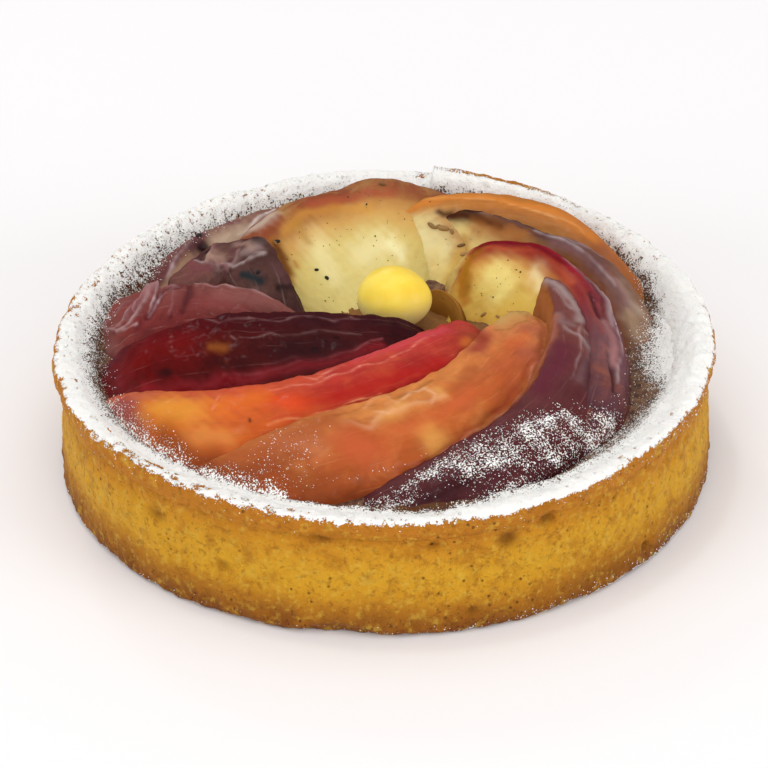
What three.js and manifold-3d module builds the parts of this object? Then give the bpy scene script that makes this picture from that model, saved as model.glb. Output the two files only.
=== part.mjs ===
// A round peach tart, 104 mm across and about 28 mm high, in millimetres with +Z up.
// A straight-sided shortcrust shell holds a disc of baked almond filling. On the filling, eleven
// peach wedges turn in a rosette round one blanched nut, with a small flap of core beside it. Each
// wedge climbs from the well round the nut, runs clockwise and ends at the rim: its cut flesh faces
// the well and its skin faces the rim.
// The origin is the centre of the flat base that the tart rests on.
import * as THREE from "three";
import { mergeVertices } from "three/addons/utils/BufferGeometryUtils.js";
import Module from "manifold-3d";

const wasm = await Module();
wasm.setup();

const GAP = 0.3; // clearance between neighbours

// Shell
const BASE_RADIUS = 51.9; // the wall flares a little towards its foot
const NECK_RADIUS = 50.7; // the wall draws in a little below the lip
const LIP_RADIUS = 52.1; // the rim spreads over the ring while it bakes
const FLARE = BASE_RADIUS - NECK_RADIUS;
const RIM_HEIGHT = 21.7;
const RIM_TILT = 0.036; // the rim stands higher at the back than at the front
const RIM_WAVES = 0.28;
const LIP_HEIGHT = 4.4;
const LIP_WAVES = 0.2;
const LIP_SPREAD = { least: 0.4, sides: [[190, 60], [5, 50]] }; // widest to the left and the right
const FLAKE = { height: 1.3, from: 80, to: 50 }; // on the rim at the back right, in degrees
const WALL_INSIDE = 47.4;
const WALL_DRAFT = 0.4; // the well narrows by that much down to its floor
const WALL_WAVES = 0.25;
const FLOOR_THICKNESS = 3.2;
const FLOOR_RADIUS = BASE_RADIUS - 6;
const BASE_ROUNDING = 1.2;
const CHIP = { height: 0.9, depth: 0.36, at: 262, halfWidth: 9 }; // at the foot of the front
const SHELL_STEPS = 84;

// Filling
const FILLING_RADIUS = WALL_INSIDE - WALL_DRAFT - GAP;
const FILLING_TOP = 17;
const FILLING_RISE = 0.9; // it climbs where it meets the wall
const FILLING_WAVES = 0.35;
const FILLING_RINGS = [43.5, 40, 34]; // inside the last ring its top is level
const FILLING_LEVEL_RADIUS = 36;
const FILLING_STEPS = 64;

// Fruit and nut
const WEDGE_BASE = 15; // each wedge starts below the filling's top, and the filling trims it
const WEDGE_STATIONS = 20;
const SKIN_STEPS = 6;
const FLESH_STEPS = 5;
const SKIN_BULGE = 0.84; // below 1 the skin is fuller than an ellipse
const FLESH_ROUNDING = 1.2; // above 1 the flesh rounds over towards the ridge
const RIDGE_WAVES = 0.025; // how far the ridge rises and dips, as a share of its height
const NUT_CENTRE = [1.2, 9.2, 22.6];
const NUT_RADII = [6.2, 6, 5.4];
const NUT_SLIMMING = 0.1; // its narrow end, to the right and front
const NUT_TURN = -25; // degrees

const DEGREE = Math.PI / 180;
const MERGE_DISTANCE = 1e-3;

// One row for each wedge, in the order in which they keep their shape where two meet.
// ridge: points on the wedge's highest line, from the well to the rim
// skin, flesh: how far the two sides reach out from the ridge, near the well and near the rim
// aim: 1 where the flesh slopes straight to the nut, 0 where it slopes square to the ridge
// hollow: how deeply the pit has scooped the flesh, as a share of the height
// blunt: the share of the length over which each end rounds off
const WEDGES = [
  {
    name: "wedge_front_orange",
    colour: 0xd9762f,
    ridge: [
      [28, 5, 18], [21, 0.8, 24.4], [8.5, -17.5, 25], [-1, -25.5, 25.2],
      [-12.5, -30.6, 24.6], [-22, -33, 22.2], [-35, -27, 17],
    ],
    skin: [14, 12],
    flesh: [4.5, 4],
    aim: 0,
    hollow: 0,
    blunt: [0.1, 0.3],
  },
  {
    name: "wedge_front_red",
    colour: 0xcf3f35,
    ridge: [
      [17.5, 1.5, 20], [12.5, -2, 24.4], [-0.8, -13.4, 26],
      [-12.8, -20.8, 26], [-26, -22.5, 25], [-37, -18, 22.5], [-46, -8, 17],
    ],
    skin: [15, 12],
    flesh: [5, 5],
    aim: 0,
    hollow: 0,
    blunt: [0.12, 0.3],
  },
  {
    name: "wedge_left_maroon",
    colour: 0x6e1f2c,
    ridge: [
      [9.5, 1.5, 21.5], [2, -0.6, 24.2], [-13.4, -2.2, 26.4],
      [-24, -2.6, 26.4], [-35, -4, 24.5], [-47, -4, 17],
    ],
    skin: [15, 12],
    flesh: [4, 5],
    aim: 0,
    hollow: 0,
    blunt: [0.35, 0.25],
  },
  {
    name: "wedge_left_pink",
    colour: 0x9c4a4e,
    ridge: [
      [-9, 6, 20.5], [-19, 8.2, 24], [-26, 9.6, 24.8],
      [-33, 11, 24.2], [-40, 11, 22.4], [-49, 9, 17.5],
    ],
    skin: [11, 13],
    flesh: [4, 12],
    aim: 0,
    hollow: 0,
    blunt: [0.3, 0.2],
  },
  {
    name: "wedge_left_folded",
    colour: 0x5b4048,
    ridge: [
      [-12, 8, 20], [-15.6, 14.5, 24], [-20, 20.8, 27],
      [-26.5, 24.5, 24], [-40, 28, 17.5],
    ],
    skin: [9, 11],
    flesh: [3, 5],
    aim: 0,
    hollow: 0,
    blunt: [0.3, 0.4],
  },
  {
    name: "wedge_right_plum",
    colour: 0x5d2740,
    ridge: [
      [24.6, 17.5, 23], [25.8, 11, 25.6], [26.6, -4, 25.4],
      [21.4, -23, 23.8], [10, -34.5, 21.8], [-10, -42, 17],
    ],
    skin: [8, 14],
    flesh: [4.5, 8],
    aim: 0,
    hollow: 0,
    blunt: [0.16, 0.3],
  },
  {
    name: "wedge_right_crimson",
    colour: 0xa8324a,
    ridge: [
      [9.5, 18.6, 19], [16, 19.4, 25.2], [24, 16.2, 27], [30.2, 6, 26.7],
      [32.8, -7, 25.2], [30.4, -22, 22.2], [21, -36, 17],
    ],
    skin: [6, 5],
    flesh: [14, 9],
    aim: 0.5,
    hollow: 0.04,
    blunt: [0.12, 0.25],
  },
  {
    name: "wedge_back_plum",
    colour: 0x6a4650,
    ridge: [
      [6, 33, 24.2], [14, 30.6, 25.8], [24.5, 23.2, 26],
      [31, 19, 25.8], [37, 11.5, 23.2], [40.4, -2, 17],
    ],
    skin: [5, 5],
    flesh: [15, 10],
    aim: 0.3,
    hollow: 0.03,
    blunt: [0.15, 0.25],
  },
  {
    name: "wedge_back_amber",
    colour: 0xcf8a4c,
    ridge: [
      [-8, 31, 21], [0, 33, 24.4], [14, 35, 26.4],
      [27.6, 32, 26.2], [34.5, 27.6, 25.2], [44, 10, 17],
    ],
    skin: [6, 7],
    flesh: [21, 16],
    aim: 0.6,
    hollow: 0,
    blunt: [0.3, 0.25],
  },
  {
    name: "wedge_back_cream",
    colour: 0xe6d79a,
    ridge: [
      [-21, 10, 18.5], [-21, 24, 23.6], [-15, 33, 25.8], [-6, 37, 26.6],
      [-1, 38.6, 27.6], [7, 38, 26.2], [25, 40, 18],
    ],
    skin: [6, 7],
    flesh: [25, 26],
    aim: 1,
    hollow: 0.1,
    blunt: [0.2, 0.3],
  },
  {
    name: "wedge_left_pale",
    colour: 0xb9958a,
    ridge: [
      [-39.5, 19, 17.5], [-33.6, 26, 21.4], [-29.4, 30, 22.4],
      [-23.5, 33.6, 23], [-17, 37.5, 23.2], [-3, 44, 17.5],
    ],
    skin: [5, 6],
    flesh: [12, 12],
    aim: 0,
    hollow: 0,
    blunt: [0.2, 0.25],
  },
  {
    name: "core_flap",
    colour: 0xa9763a,
    ridge: [
      [5.5, 15.5, 18.5], [9, 14.6, 21],
      [12, 12.4, 21.2], [14, 7, 18.5],
    ],
    skin: [3, 3],
    flesh: [3, 3],
    aim: 0,
    hollow: 0,
    blunt: [0.3, 0.3],
  },
];

// Smooth unevenness round the tart, from -1 to 1: a few waves whose phases follow the seed.
function waver(angle, seed) {
  return (
    0.5 * Math.sin(3 * angle + 1.7 * seed) +
    0.3 * Math.sin(7 * angle + 2.9 * seed) +
    0.2 * Math.sin(13 * angle + 4.3 * seed)
  );
}

// A bump of height 1 round one direction, fading out over a half width, all in degrees.
function bumpAt(angle, centre, halfWidth) {
  const away = Math.abs(((angle / DEGREE - centre + 540) % 360) - 180) / halfWidth;
  return away < 1 ? Math.cos((away * Math.PI) / 2) ** 2 : 0;
}

// How high the rim's raised flake stands: it starts with a step and runs out to nothing.
function flakeAt(angle) {
  const share = ((angle / DEGREE + 360) % 360 - FLAKE.to) / (FLAKE.from - FLAKE.to);
  return share > 0 && share < 1 ? FLAKE.height * Math.sqrt(share) : 0;
}

// How far the lip leans out at an angle, as a share of its full spread.
function spreadAt(angle) {
  const [left, right] = LIP_SPREAD.sides.map(([centre, width]) => bumpAt(angle, centre, width));
  return LIP_SPREAD.least + (1 - LIP_SPREAD.least) * Math.max(left, right);
}

// Turns a profile round the Z axis, moved point by point. A profile point is [radius, z].
function turned(profile, steps, move) {
  const geometry = new THREE.LatheGeometry(
    profile.map(([radius, z]) => new THREE.Vector2(radius, z)),
    steps,
  ).rotateX(Math.PI / 2);
  const position = geometry.getAttribute("position");
  const point = new THREE.Vector3();
  for (let i = 0; i < position.count; i++) {
    point.fromBufferAttribute(position, i);
    const radius = Math.hypot(point.x, point.y);
    const angle = Math.atan2(point.y, point.x);
    const row = i % profile.length;
    const [moved, z] = move(radius, point.z, angle, row);
    position.setXYZ(i, moved * Math.cos(angle), moved * Math.sin(angle), z);
  }
  return geometry;
}

// The shell: floor, wall, and a rough lip that leans out over the wall.
function shellGeometry() {
  const lipStart = RIM_HEIGHT - LIP_HEIGHT;
  const foot = [
    [0, 0],
    [FLOOR_RADIUS, 0],
    [BASE_RADIUS - BASE_ROUNDING, 0],
  ];
  const wall = [
    [BASE_RADIUS - BASE_ROUNDING * 0.3, BASE_ROUNDING * 0.3],
    [BASE_RADIUS, BASE_ROUNDING],
    [BASE_RADIUS - FLARE / 3, RIM_HEIGHT * 0.28],
    [BASE_RADIUS - (FLARE * 2) / 3, RIM_HEIGHT * 0.53],
    [NECK_RADIUS, lipStart],
  ];
  const lip = [
    [NECK_RADIUS + 0.9, lipStart + 1.2],
    [LIP_RADIUS, RIM_HEIGHT - 1.6],
    [LIP_RADIUS - 0.4, RIM_HEIGHT - 0.5],
  ];
  const rim = [
    [LIP_RADIUS - 1.6, RIM_HEIGHT],
    [WALL_INSIDE + 1.4, RIM_HEIGHT - 0.2],
    [WALL_INSIDE + 0.4, RIM_HEIGHT - 1],
  ];
  const well = [
    [WALL_INSIDE, RIM_HEIGHT - 3.4],
    [WALL_INSIDE - WALL_DRAFT, FLOOR_THICKNESS],
    [0, FLOOR_THICKNESS],
  ];
  const wallRow = foot.length;
  const lipRow = wallRow + wall.length;
  const rimRow = lipRow + lip.length;
  const wellRow = rimRow + rim.length;
  const profile = [...foot, ...wall, ...lip, ...rim, ...well];
  return turned(profile, SHELL_STEPS, (radius, z, angle, row) => {
    if (row < wallRow || row >= wellRow) return [radius, z];
    if (row < lipRow) {
      const chip = row <= wallRow + 1 ? bumpAt(angle, CHIP.at, CHIP.halfWidth) : 0;
      const wavy = radius + WALL_WAVES * waver(angle, 3 + row);
      return [wavy - CHIP.depth * chip, z + CHIP.height * chip];
    }
    const spread = row < rimRow ? spreadAt(angle) : 1;
    const tilt = RIM_TILT * radius * Math.sin(angle);
    return [
      NECK_RADIUS + (radius - NECK_RADIUS) * spread + LIP_WAVES * waver(angle, 2),
      z + tilt + RIM_WAVES * waver(angle, 1) + flakeAt(angle),
    ];
  });
}

// The filling's level at a radius and an angle: uneven, and higher along the wall.
function fillingLevel(radius, angle) {
  const width = WALL_INSIDE - FILLING_LEVEL_RADIUS;
  const towardsWall = Math.max(0, (radius - FILLING_LEVEL_RADIUS) / width);
  const waves = FILLING_WAVES * towardsWall * waver(angle, 9);
  return FILLING_TOP + FILLING_RISE * towardsWall ** 2 + waves;
}

function fillingGeometry(lift = 0) {
  const bottom = [
    [0, FLOOR_THICKNESS + GAP],
    [FILLING_RADIUS, FLOOR_THICKNESS + GAP],
  ];
  const top = [FILLING_RADIUS, ...FILLING_RINGS, 0].map((radius) => [radius, FILLING_TOP]);
  return turned([...bottom, ...top], FILLING_STEPS, (radius, z, angle, row) => [
    radius,
    row < bottom.length ? z : fillingLevel(radius, angle) + lift,
  ]);
}

// How much of a wedge's full section is left at a share of its length.
function endTaper(share, [inner, outer]) {
  const fromStart = Math.min(1, share / inner);
  const fromEnd = Math.min(1, (1 - share) / outer);
  return Math.sqrt((1 - (1 - fromStart) ** 2) * (1 - (1 - fromEnd) ** 2));
}

function unit(x, y) {
  const length = Math.hypot(x, y);
  return [x / length, y / length];
}

// One section of a wedge, from the skin's foot over the ridge to the flesh's foot, as points
// [across the skin, across the flesh, up]. grow makes all sides stand out by that much.
function wedgeSection(wedge, share, height, grow) {
  const taper = endTaper(share, wedge.blunt);
  const skin = THREE.MathUtils.lerp(...wedge.skin, share) * taper + grow;
  const flesh = THREE.MathUtils.lerp(...wedge.flesh, share) * taper + grow;
  const top = height * taper + 2 * grow; // the base sinks by grow, and the ridge rises by it
  const section = [];
  for (let i = 0; i <= SKIN_STEPS; i++) {
    const turn = (i / SKIN_STEPS) * 90 * DEGREE;
    section.push([skin * Math.cos(turn) ** SKIN_BULGE, 0, top * Math.sin(turn) ** SKIN_BULGE]);
  }
  for (let i = 1; i <= FLESH_STEPS; i++) {
    const away = i / FLESH_STEPS;
    const scooped = wedge.hollow * Math.sin(Math.PI * away);
    section.push([0, flesh * away, top * Math.max(0, 1 - away ** FLESH_ROUNDING - scooped)]);
  }
  return section;
}

// The rings of points round a wedge, from end to end; at both ends the ring shrinks to one point.
function wedgeRings(wedge, grow) {
  const ridge = new THREE.CatmullRomCurve3(
    wedge.ridge.map((p) => new THREE.Vector3(...p)),
    false,
    "centripetal",
  );
  const base = WEDGE_BASE - grow;
  const rings = [];
  for (let i = 0; i <= WEDGE_STATIONS; i++) {
    const share = i / WEDGE_STATIONS;
    const at = ridge.getPointAt(share);
    const along = ridge.getTangentAt(share).setZ(0).normalize();
    const toSkin = [-along.y, along.x];
    const toNut = unit(NUT_CENTRE[0] - at.x, NUT_CENTRE[1] - at.y);
    const toFlesh = unit(
      THREE.MathUtils.lerp(along.y, toNut[0], wedge.aim),
      THREE.MathUtils.lerp(-along.x, toNut[1], wedge.aim),
    );
    const waves = 1 + RIDGE_WAVES * waver(share * 2 * Math.PI, wedge.ridge[0][0]);
    const isEnd = i === 0 || i === WEDGE_STATIONS;
    if (isEnd) at.addScaledVector(along, (i === 0 ? -2 : 2) * grow);
    rings.push(
      wedgeSection(wedge, share, (at.z - WEDGE_BASE) * waves, grow).map(([skin, flesh, up]) => [
        at.x + (isEnd ? 0 : toSkin[0] * skin + toFlesh[0] * flesh),
        at.y + (isEnd ? 0 : toSkin[1] * skin + toFlesh[1] * flesh),
        base + (isEnd ? 0 : up),
      ]),
    );
  }
  return rings;
}

function wedgeSolid(wedge, grow = 0) {
  const rings = wedgeRings(wedge, grow);
  const size = rings[0].length;
  const faces = [];
  for (let i = 0; i < WEDGE_STATIONS; i++) {
    const near = i * size;
    const far = near + size;
    for (let j = 0; j < size; j++) {
      const next = (j + 1) % size;
      faces.push(near + j, far + j, far + next, near + j, far + next, near + next);
    }
  }
  return solidOf(
    new THREE.BufferGeometry()
      .setAttribute("position", new THREE.Float32BufferAttribute(rings.flat(2), 3))
      .setIndex(faces),
  );
}

// The nut: an egg shape.
function nutGeometry(grow = 0) {
  const [rx, ry, rz] = NUT_RADII;
  const geometry = new THREE.SphereGeometry(1, 18, 12);
  const position = geometry.getAttribute("position");
  for (let i = 0; i < position.count; i++) {
    const x = position.getX(i);
    const slim = 1 - NUT_SLIMMING * Math.max(0, x) ** 2;
    const y = position.getY(i) * slim;
    const z = position.getZ(i) * slim;
    position.setXYZ(i, x * (rx + grow), y * (ry + grow), z * (rz + grow));
  }
  return geometry.rotateZ(NUT_TURN * DEGREE).translate(...NUT_CENTRE);
}

// A closed geometry as a solid that can be cut.
function solidOf(geometry) {
  const bare = geometry.clone();
  bare.deleteAttribute("normal");
  bare.deleteAttribute("uv");
  const merged = mergeVertices(bare, MERGE_DISTANCE);
  const corners = merged.index.array;
  const kept = [];
  for (let i = 0; i < corners.length; i += 3) {
    const [a, b, c] = [corners[i], corners[i + 1], corners[i + 2]];
    if (a !== b && b !== c && a !== c) kept.push(a, b, c);
  }
  const solid = new wasm.Manifold(
    new wasm.Mesh({
      numProp: 3,
      vertProperties: merged.getAttribute("position").array,
      triVerts: new Uint32Array(kept),
    }),
  );
  if (solid.volume() > 0) return solid;
  for (let i = 0; i < kept.length; i += 3) [kept[i], kept[i + 1]] = [kept[i + 1], kept[i]];
  return solidOf(merged.clone().setIndex(kept));
}

function geometryOf(solid) {
  const mesh = solid.getMesh();
  return new THREE.BufferGeometry()
    .setAttribute("position", new THREE.Float32BufferAttribute(mesh.vertProperties, 3))
    .setIndex(new THREE.BufferAttribute(mesh.triVerts, 1))
    .toNonIndexed();
}

// A cut can leave loose scraps, and slivers that part from the body once their points are merged.
function withoutScraps(solid) {
  return largestOf(solidOf(geometryOf(largestOf(solid))));
}

function largestOf(solid) {
  const larger = (best, piece) => (piece.volume() > best.volume() ? piece : best);
  return solid.decompose().reduce(larger);
}

function part(name, geometry, colour, roughness) {
  geometry.computeVertexNormals();
  const material = new THREE.MeshStandardMaterial({ color: colour, roughness, metalness: 0 });
  const mesh = new THREE.Mesh(geometry, material);
  mesh.name = name;
  return mesh;
}

const tart = new THREE.Group();
const shell = solidOf(shellGeometry());
const filling = solidOf(fillingGeometry());
tart.add(part("crust", geometryOf(shell), 0xc98a2e, 0.8));
tart.add(part("filling", geometryOf(filling), 0x8a6a3c, 0.7));

// The fruit stays inside the wall and above the filling, and each piece gives way to the earlier.
const ROOM_BOTTOM = WEDGE_BASE - 1;
const ROOM_TOP = RIM_HEIGHT + 20;
const ROOM = [
  [0, ROOM_BOTTOM],
  [FILLING_RADIUS, ROOM_BOTTOM],
  [FILLING_RADIUS, ROOM_TOP],
  [0, ROOM_TOP],
];
const clearFilling = solidOf(fillingGeometry(GAP));
const well = solidOf(turned(ROOM, SHELL_STEPS, (radius, z) => [radius, z])).subtract(clearFilling);
const nut = solidOf(nutGeometry()).subtract(clearFilling);
tart.add(part("nut", geometryOf(nut), 0xe9d25c, 0.45));
let taken = solidOf(nutGeometry(GAP));
for (const wedge of WEDGES) {
  const cut = withoutScraps(wedgeSolid(wedge).intersect(well).subtract(taken));
  tart.add(part(wedge.name, geometryOf(cut), wedge.colour, 0.35));
  taken = taken.add(wedgeSolid(wedge, GAP));
}

export default tart;
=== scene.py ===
"""The looks of the round peach tart.

A shortcrust shell holds almond filling and a rosette of baked peach wedges round a blanched nut,
dusted with icing sugar. Lengths are in millimetres up to the point where a mesh is written.
"""

import math

import bpy
import numpy as np
from mathutils import Matrix, Vector
from mathutils.bvhtree import BVHTree


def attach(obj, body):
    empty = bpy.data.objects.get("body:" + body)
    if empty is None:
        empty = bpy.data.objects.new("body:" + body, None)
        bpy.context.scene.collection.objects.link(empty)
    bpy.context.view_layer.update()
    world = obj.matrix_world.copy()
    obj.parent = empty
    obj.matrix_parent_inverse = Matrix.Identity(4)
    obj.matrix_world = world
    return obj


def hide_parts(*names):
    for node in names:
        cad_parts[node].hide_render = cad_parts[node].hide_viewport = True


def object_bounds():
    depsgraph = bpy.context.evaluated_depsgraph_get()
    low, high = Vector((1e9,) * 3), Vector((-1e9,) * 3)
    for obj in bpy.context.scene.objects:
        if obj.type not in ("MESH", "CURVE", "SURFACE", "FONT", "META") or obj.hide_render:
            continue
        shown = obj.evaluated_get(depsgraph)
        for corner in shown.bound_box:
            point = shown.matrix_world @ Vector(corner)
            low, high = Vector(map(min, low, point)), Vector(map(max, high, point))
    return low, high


MM = 0.001
SEED = 7

# The shell. Rows of (radius, z) run from the centre of the base up the wall and over the lip and
# the rim, as in the part's source, then down a bank of sugar and inside to the floor's centre.
RIM_HEIGHT = 21.7
FOOT_ROWS = [(0, 0), (45.9, 0), (50.7, 0)]
WALL_ROWS = [(51.54, 0.36), (51.9, 1.2), (51.5, 6.08), (51.1, 11.5), (50.7, 17.3)]
LIP_ROWS = [(51.6, 18.5), (52.1, 20.1), (51.7, 21.2)]
RIM_ROWS = [(50.5, RIM_HEIGHT), (48.8, 21.5), (47.8, 20.7)]
WELL_ROWS = [(46, 19.4), (44.3, 17.5), (44, 15.6), (46.9, 14.6), (47, 3.2), (0, 3.2)]
NECK_RADIUS = 50.7
RIM_TILT = 0.036
RIM_WAVES = 0.28
LIP_WAVES = 0.2
WALL_WAVES = 0.25
FLAKE = dict(height=1.3, start=80, end=50)  # on the rim at the back right, in degrees
CHIP = dict(height=0.9, depth=0.36, at=262, half_width=9)  # at the foot of the front
LIP_LEAN = [(190, 60), (5, 50)]  # where the lip leans out in full: direction, half width
SHELL_STEPS = 900  # round the shell
CORNER_WIDTH = 0.9  # over which the profile's corners are rounded

# Where the points of the shell's profile lie along its line, close together where they show
BASE_PLACES = [0, 25, 45, 49.5]
SEEN_PLACES = (50.2, 84.5, 92)  # from, to, how many
INNER_PLACES = [86, 87, 98, 99, 110, 146]

# Hollows and bubbles in the wall, each darkened with painted shade: direction in degrees, height,
# half width, half height, depth
WALL_MARKS = [
    (-69.9, 14.5, 1.5, 1.3, 0.9),
    (-62.8, 16.2, 1.3, 0.9, 0.8),
    (-82.4, 15.4, 1.1, 0.6, 0.6),
    (-100.5, 16.6, 1.6, 0.7, 0.6),
    (-49.0, 15.0, 0.45, 0.4, 0.5),
    (-41.3, 3.4, 0.8, 0.6, 0.8),
    (-76.0, 3.6, 1.0, 0.6, 0.6),
    (-118.0, 9.0, 1.0, 0.6, 0.5),
    (-132.0, 13.0, 1.6, 0.8, 0.5),
    (150.0, 12.0, 1.5, 1.0, 0.8),
    (95.0, 14.0, 1.4, 1.1, 0.8),
    (60.0, 8.0, 1.2, 0.8, 0.6),
    (20.0, 12.5, 1.5, 0.9, 0.7),
]
DEEPEST_MARK = 0.9
MARK_SHADE = 1.35  # how strongly a mark's painted shade darkens the crust
WALL_OUTSIDE = 51
OUTER_WALL = 49  # further out than this lie only the wall's outside and the rim
WALL_INSIDE = 47.4
WALL_RADIUS = 46.9  # the wedges press against the wall there

# The filling
FILLING_RADIUS = 46.7
FILLING_BOTTOM = 3.5
FILLING_TOP = 17
FILLING_LEVEL_RADIUS = 36
FILLING_RISE = 0.9
FILLING_WAVES = 0.35
FILLING_SPREAD = dict(reach=0.75, start=46)  # the top's edge spreads to the wall
FILLING_BANK = dict(height=1.2, start=42)  # and climbs it
FILLING_STEPS = (520, 130)
UNDERSIDE = 0.06  # of the profile's steps, from the centre out under the disc
SIDE_END = 0.1  # the side ends there, and the top runs in to the centre

# The nut. The cut flesh of some wedges slopes to NUT_CENTRE, and the nut rests at NUT_PLACE.
NUT_CENTRE = (1.2, 9.2, 22.6)
NUT_PLACE = (1.7, 8.9, 22.3)
NUT_RADII = (6.1, 5.5, 4.9)
NUT_SLIMMING = 0.1  # its narrow end, to the right and front
NUT_TURN = math.radians(-25)

# The wedges
WEDGE_BASE = 15
WEDGE_STEPS = (280, 140)  # from the well to the rim, and round a section
FLAP_STEPS = (70, 60)
RIDGE_STEPS = 600
RIDGE_POINTS = 400
SKIN_SHARE = 0.5  # of a section's steps, from the skin's foot to the ridge
FLESH_SHARE = 0.45  # from the ridge to the flesh's foot; the rest runs under the wedge
SKIN_BULGE = 0.84
FLESH_ROUNDING = 1.2

# How high the wedges' ends may stand, so that the bank of sugar inside the rim covers them
END_HEIGHT = 18.3
END_RADIUS = 46.2  # further in than this they may stand higher, by END_SLOPE
END_SLOPE = 1.5
HIGHER_END = dict(at=46, half_width=24, strength=2.5)
HELD_RADIUS = 41  # only what lies further out than this is held down
END_GIVE = 0.5  # the most by which the fruit still stands too high
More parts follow.
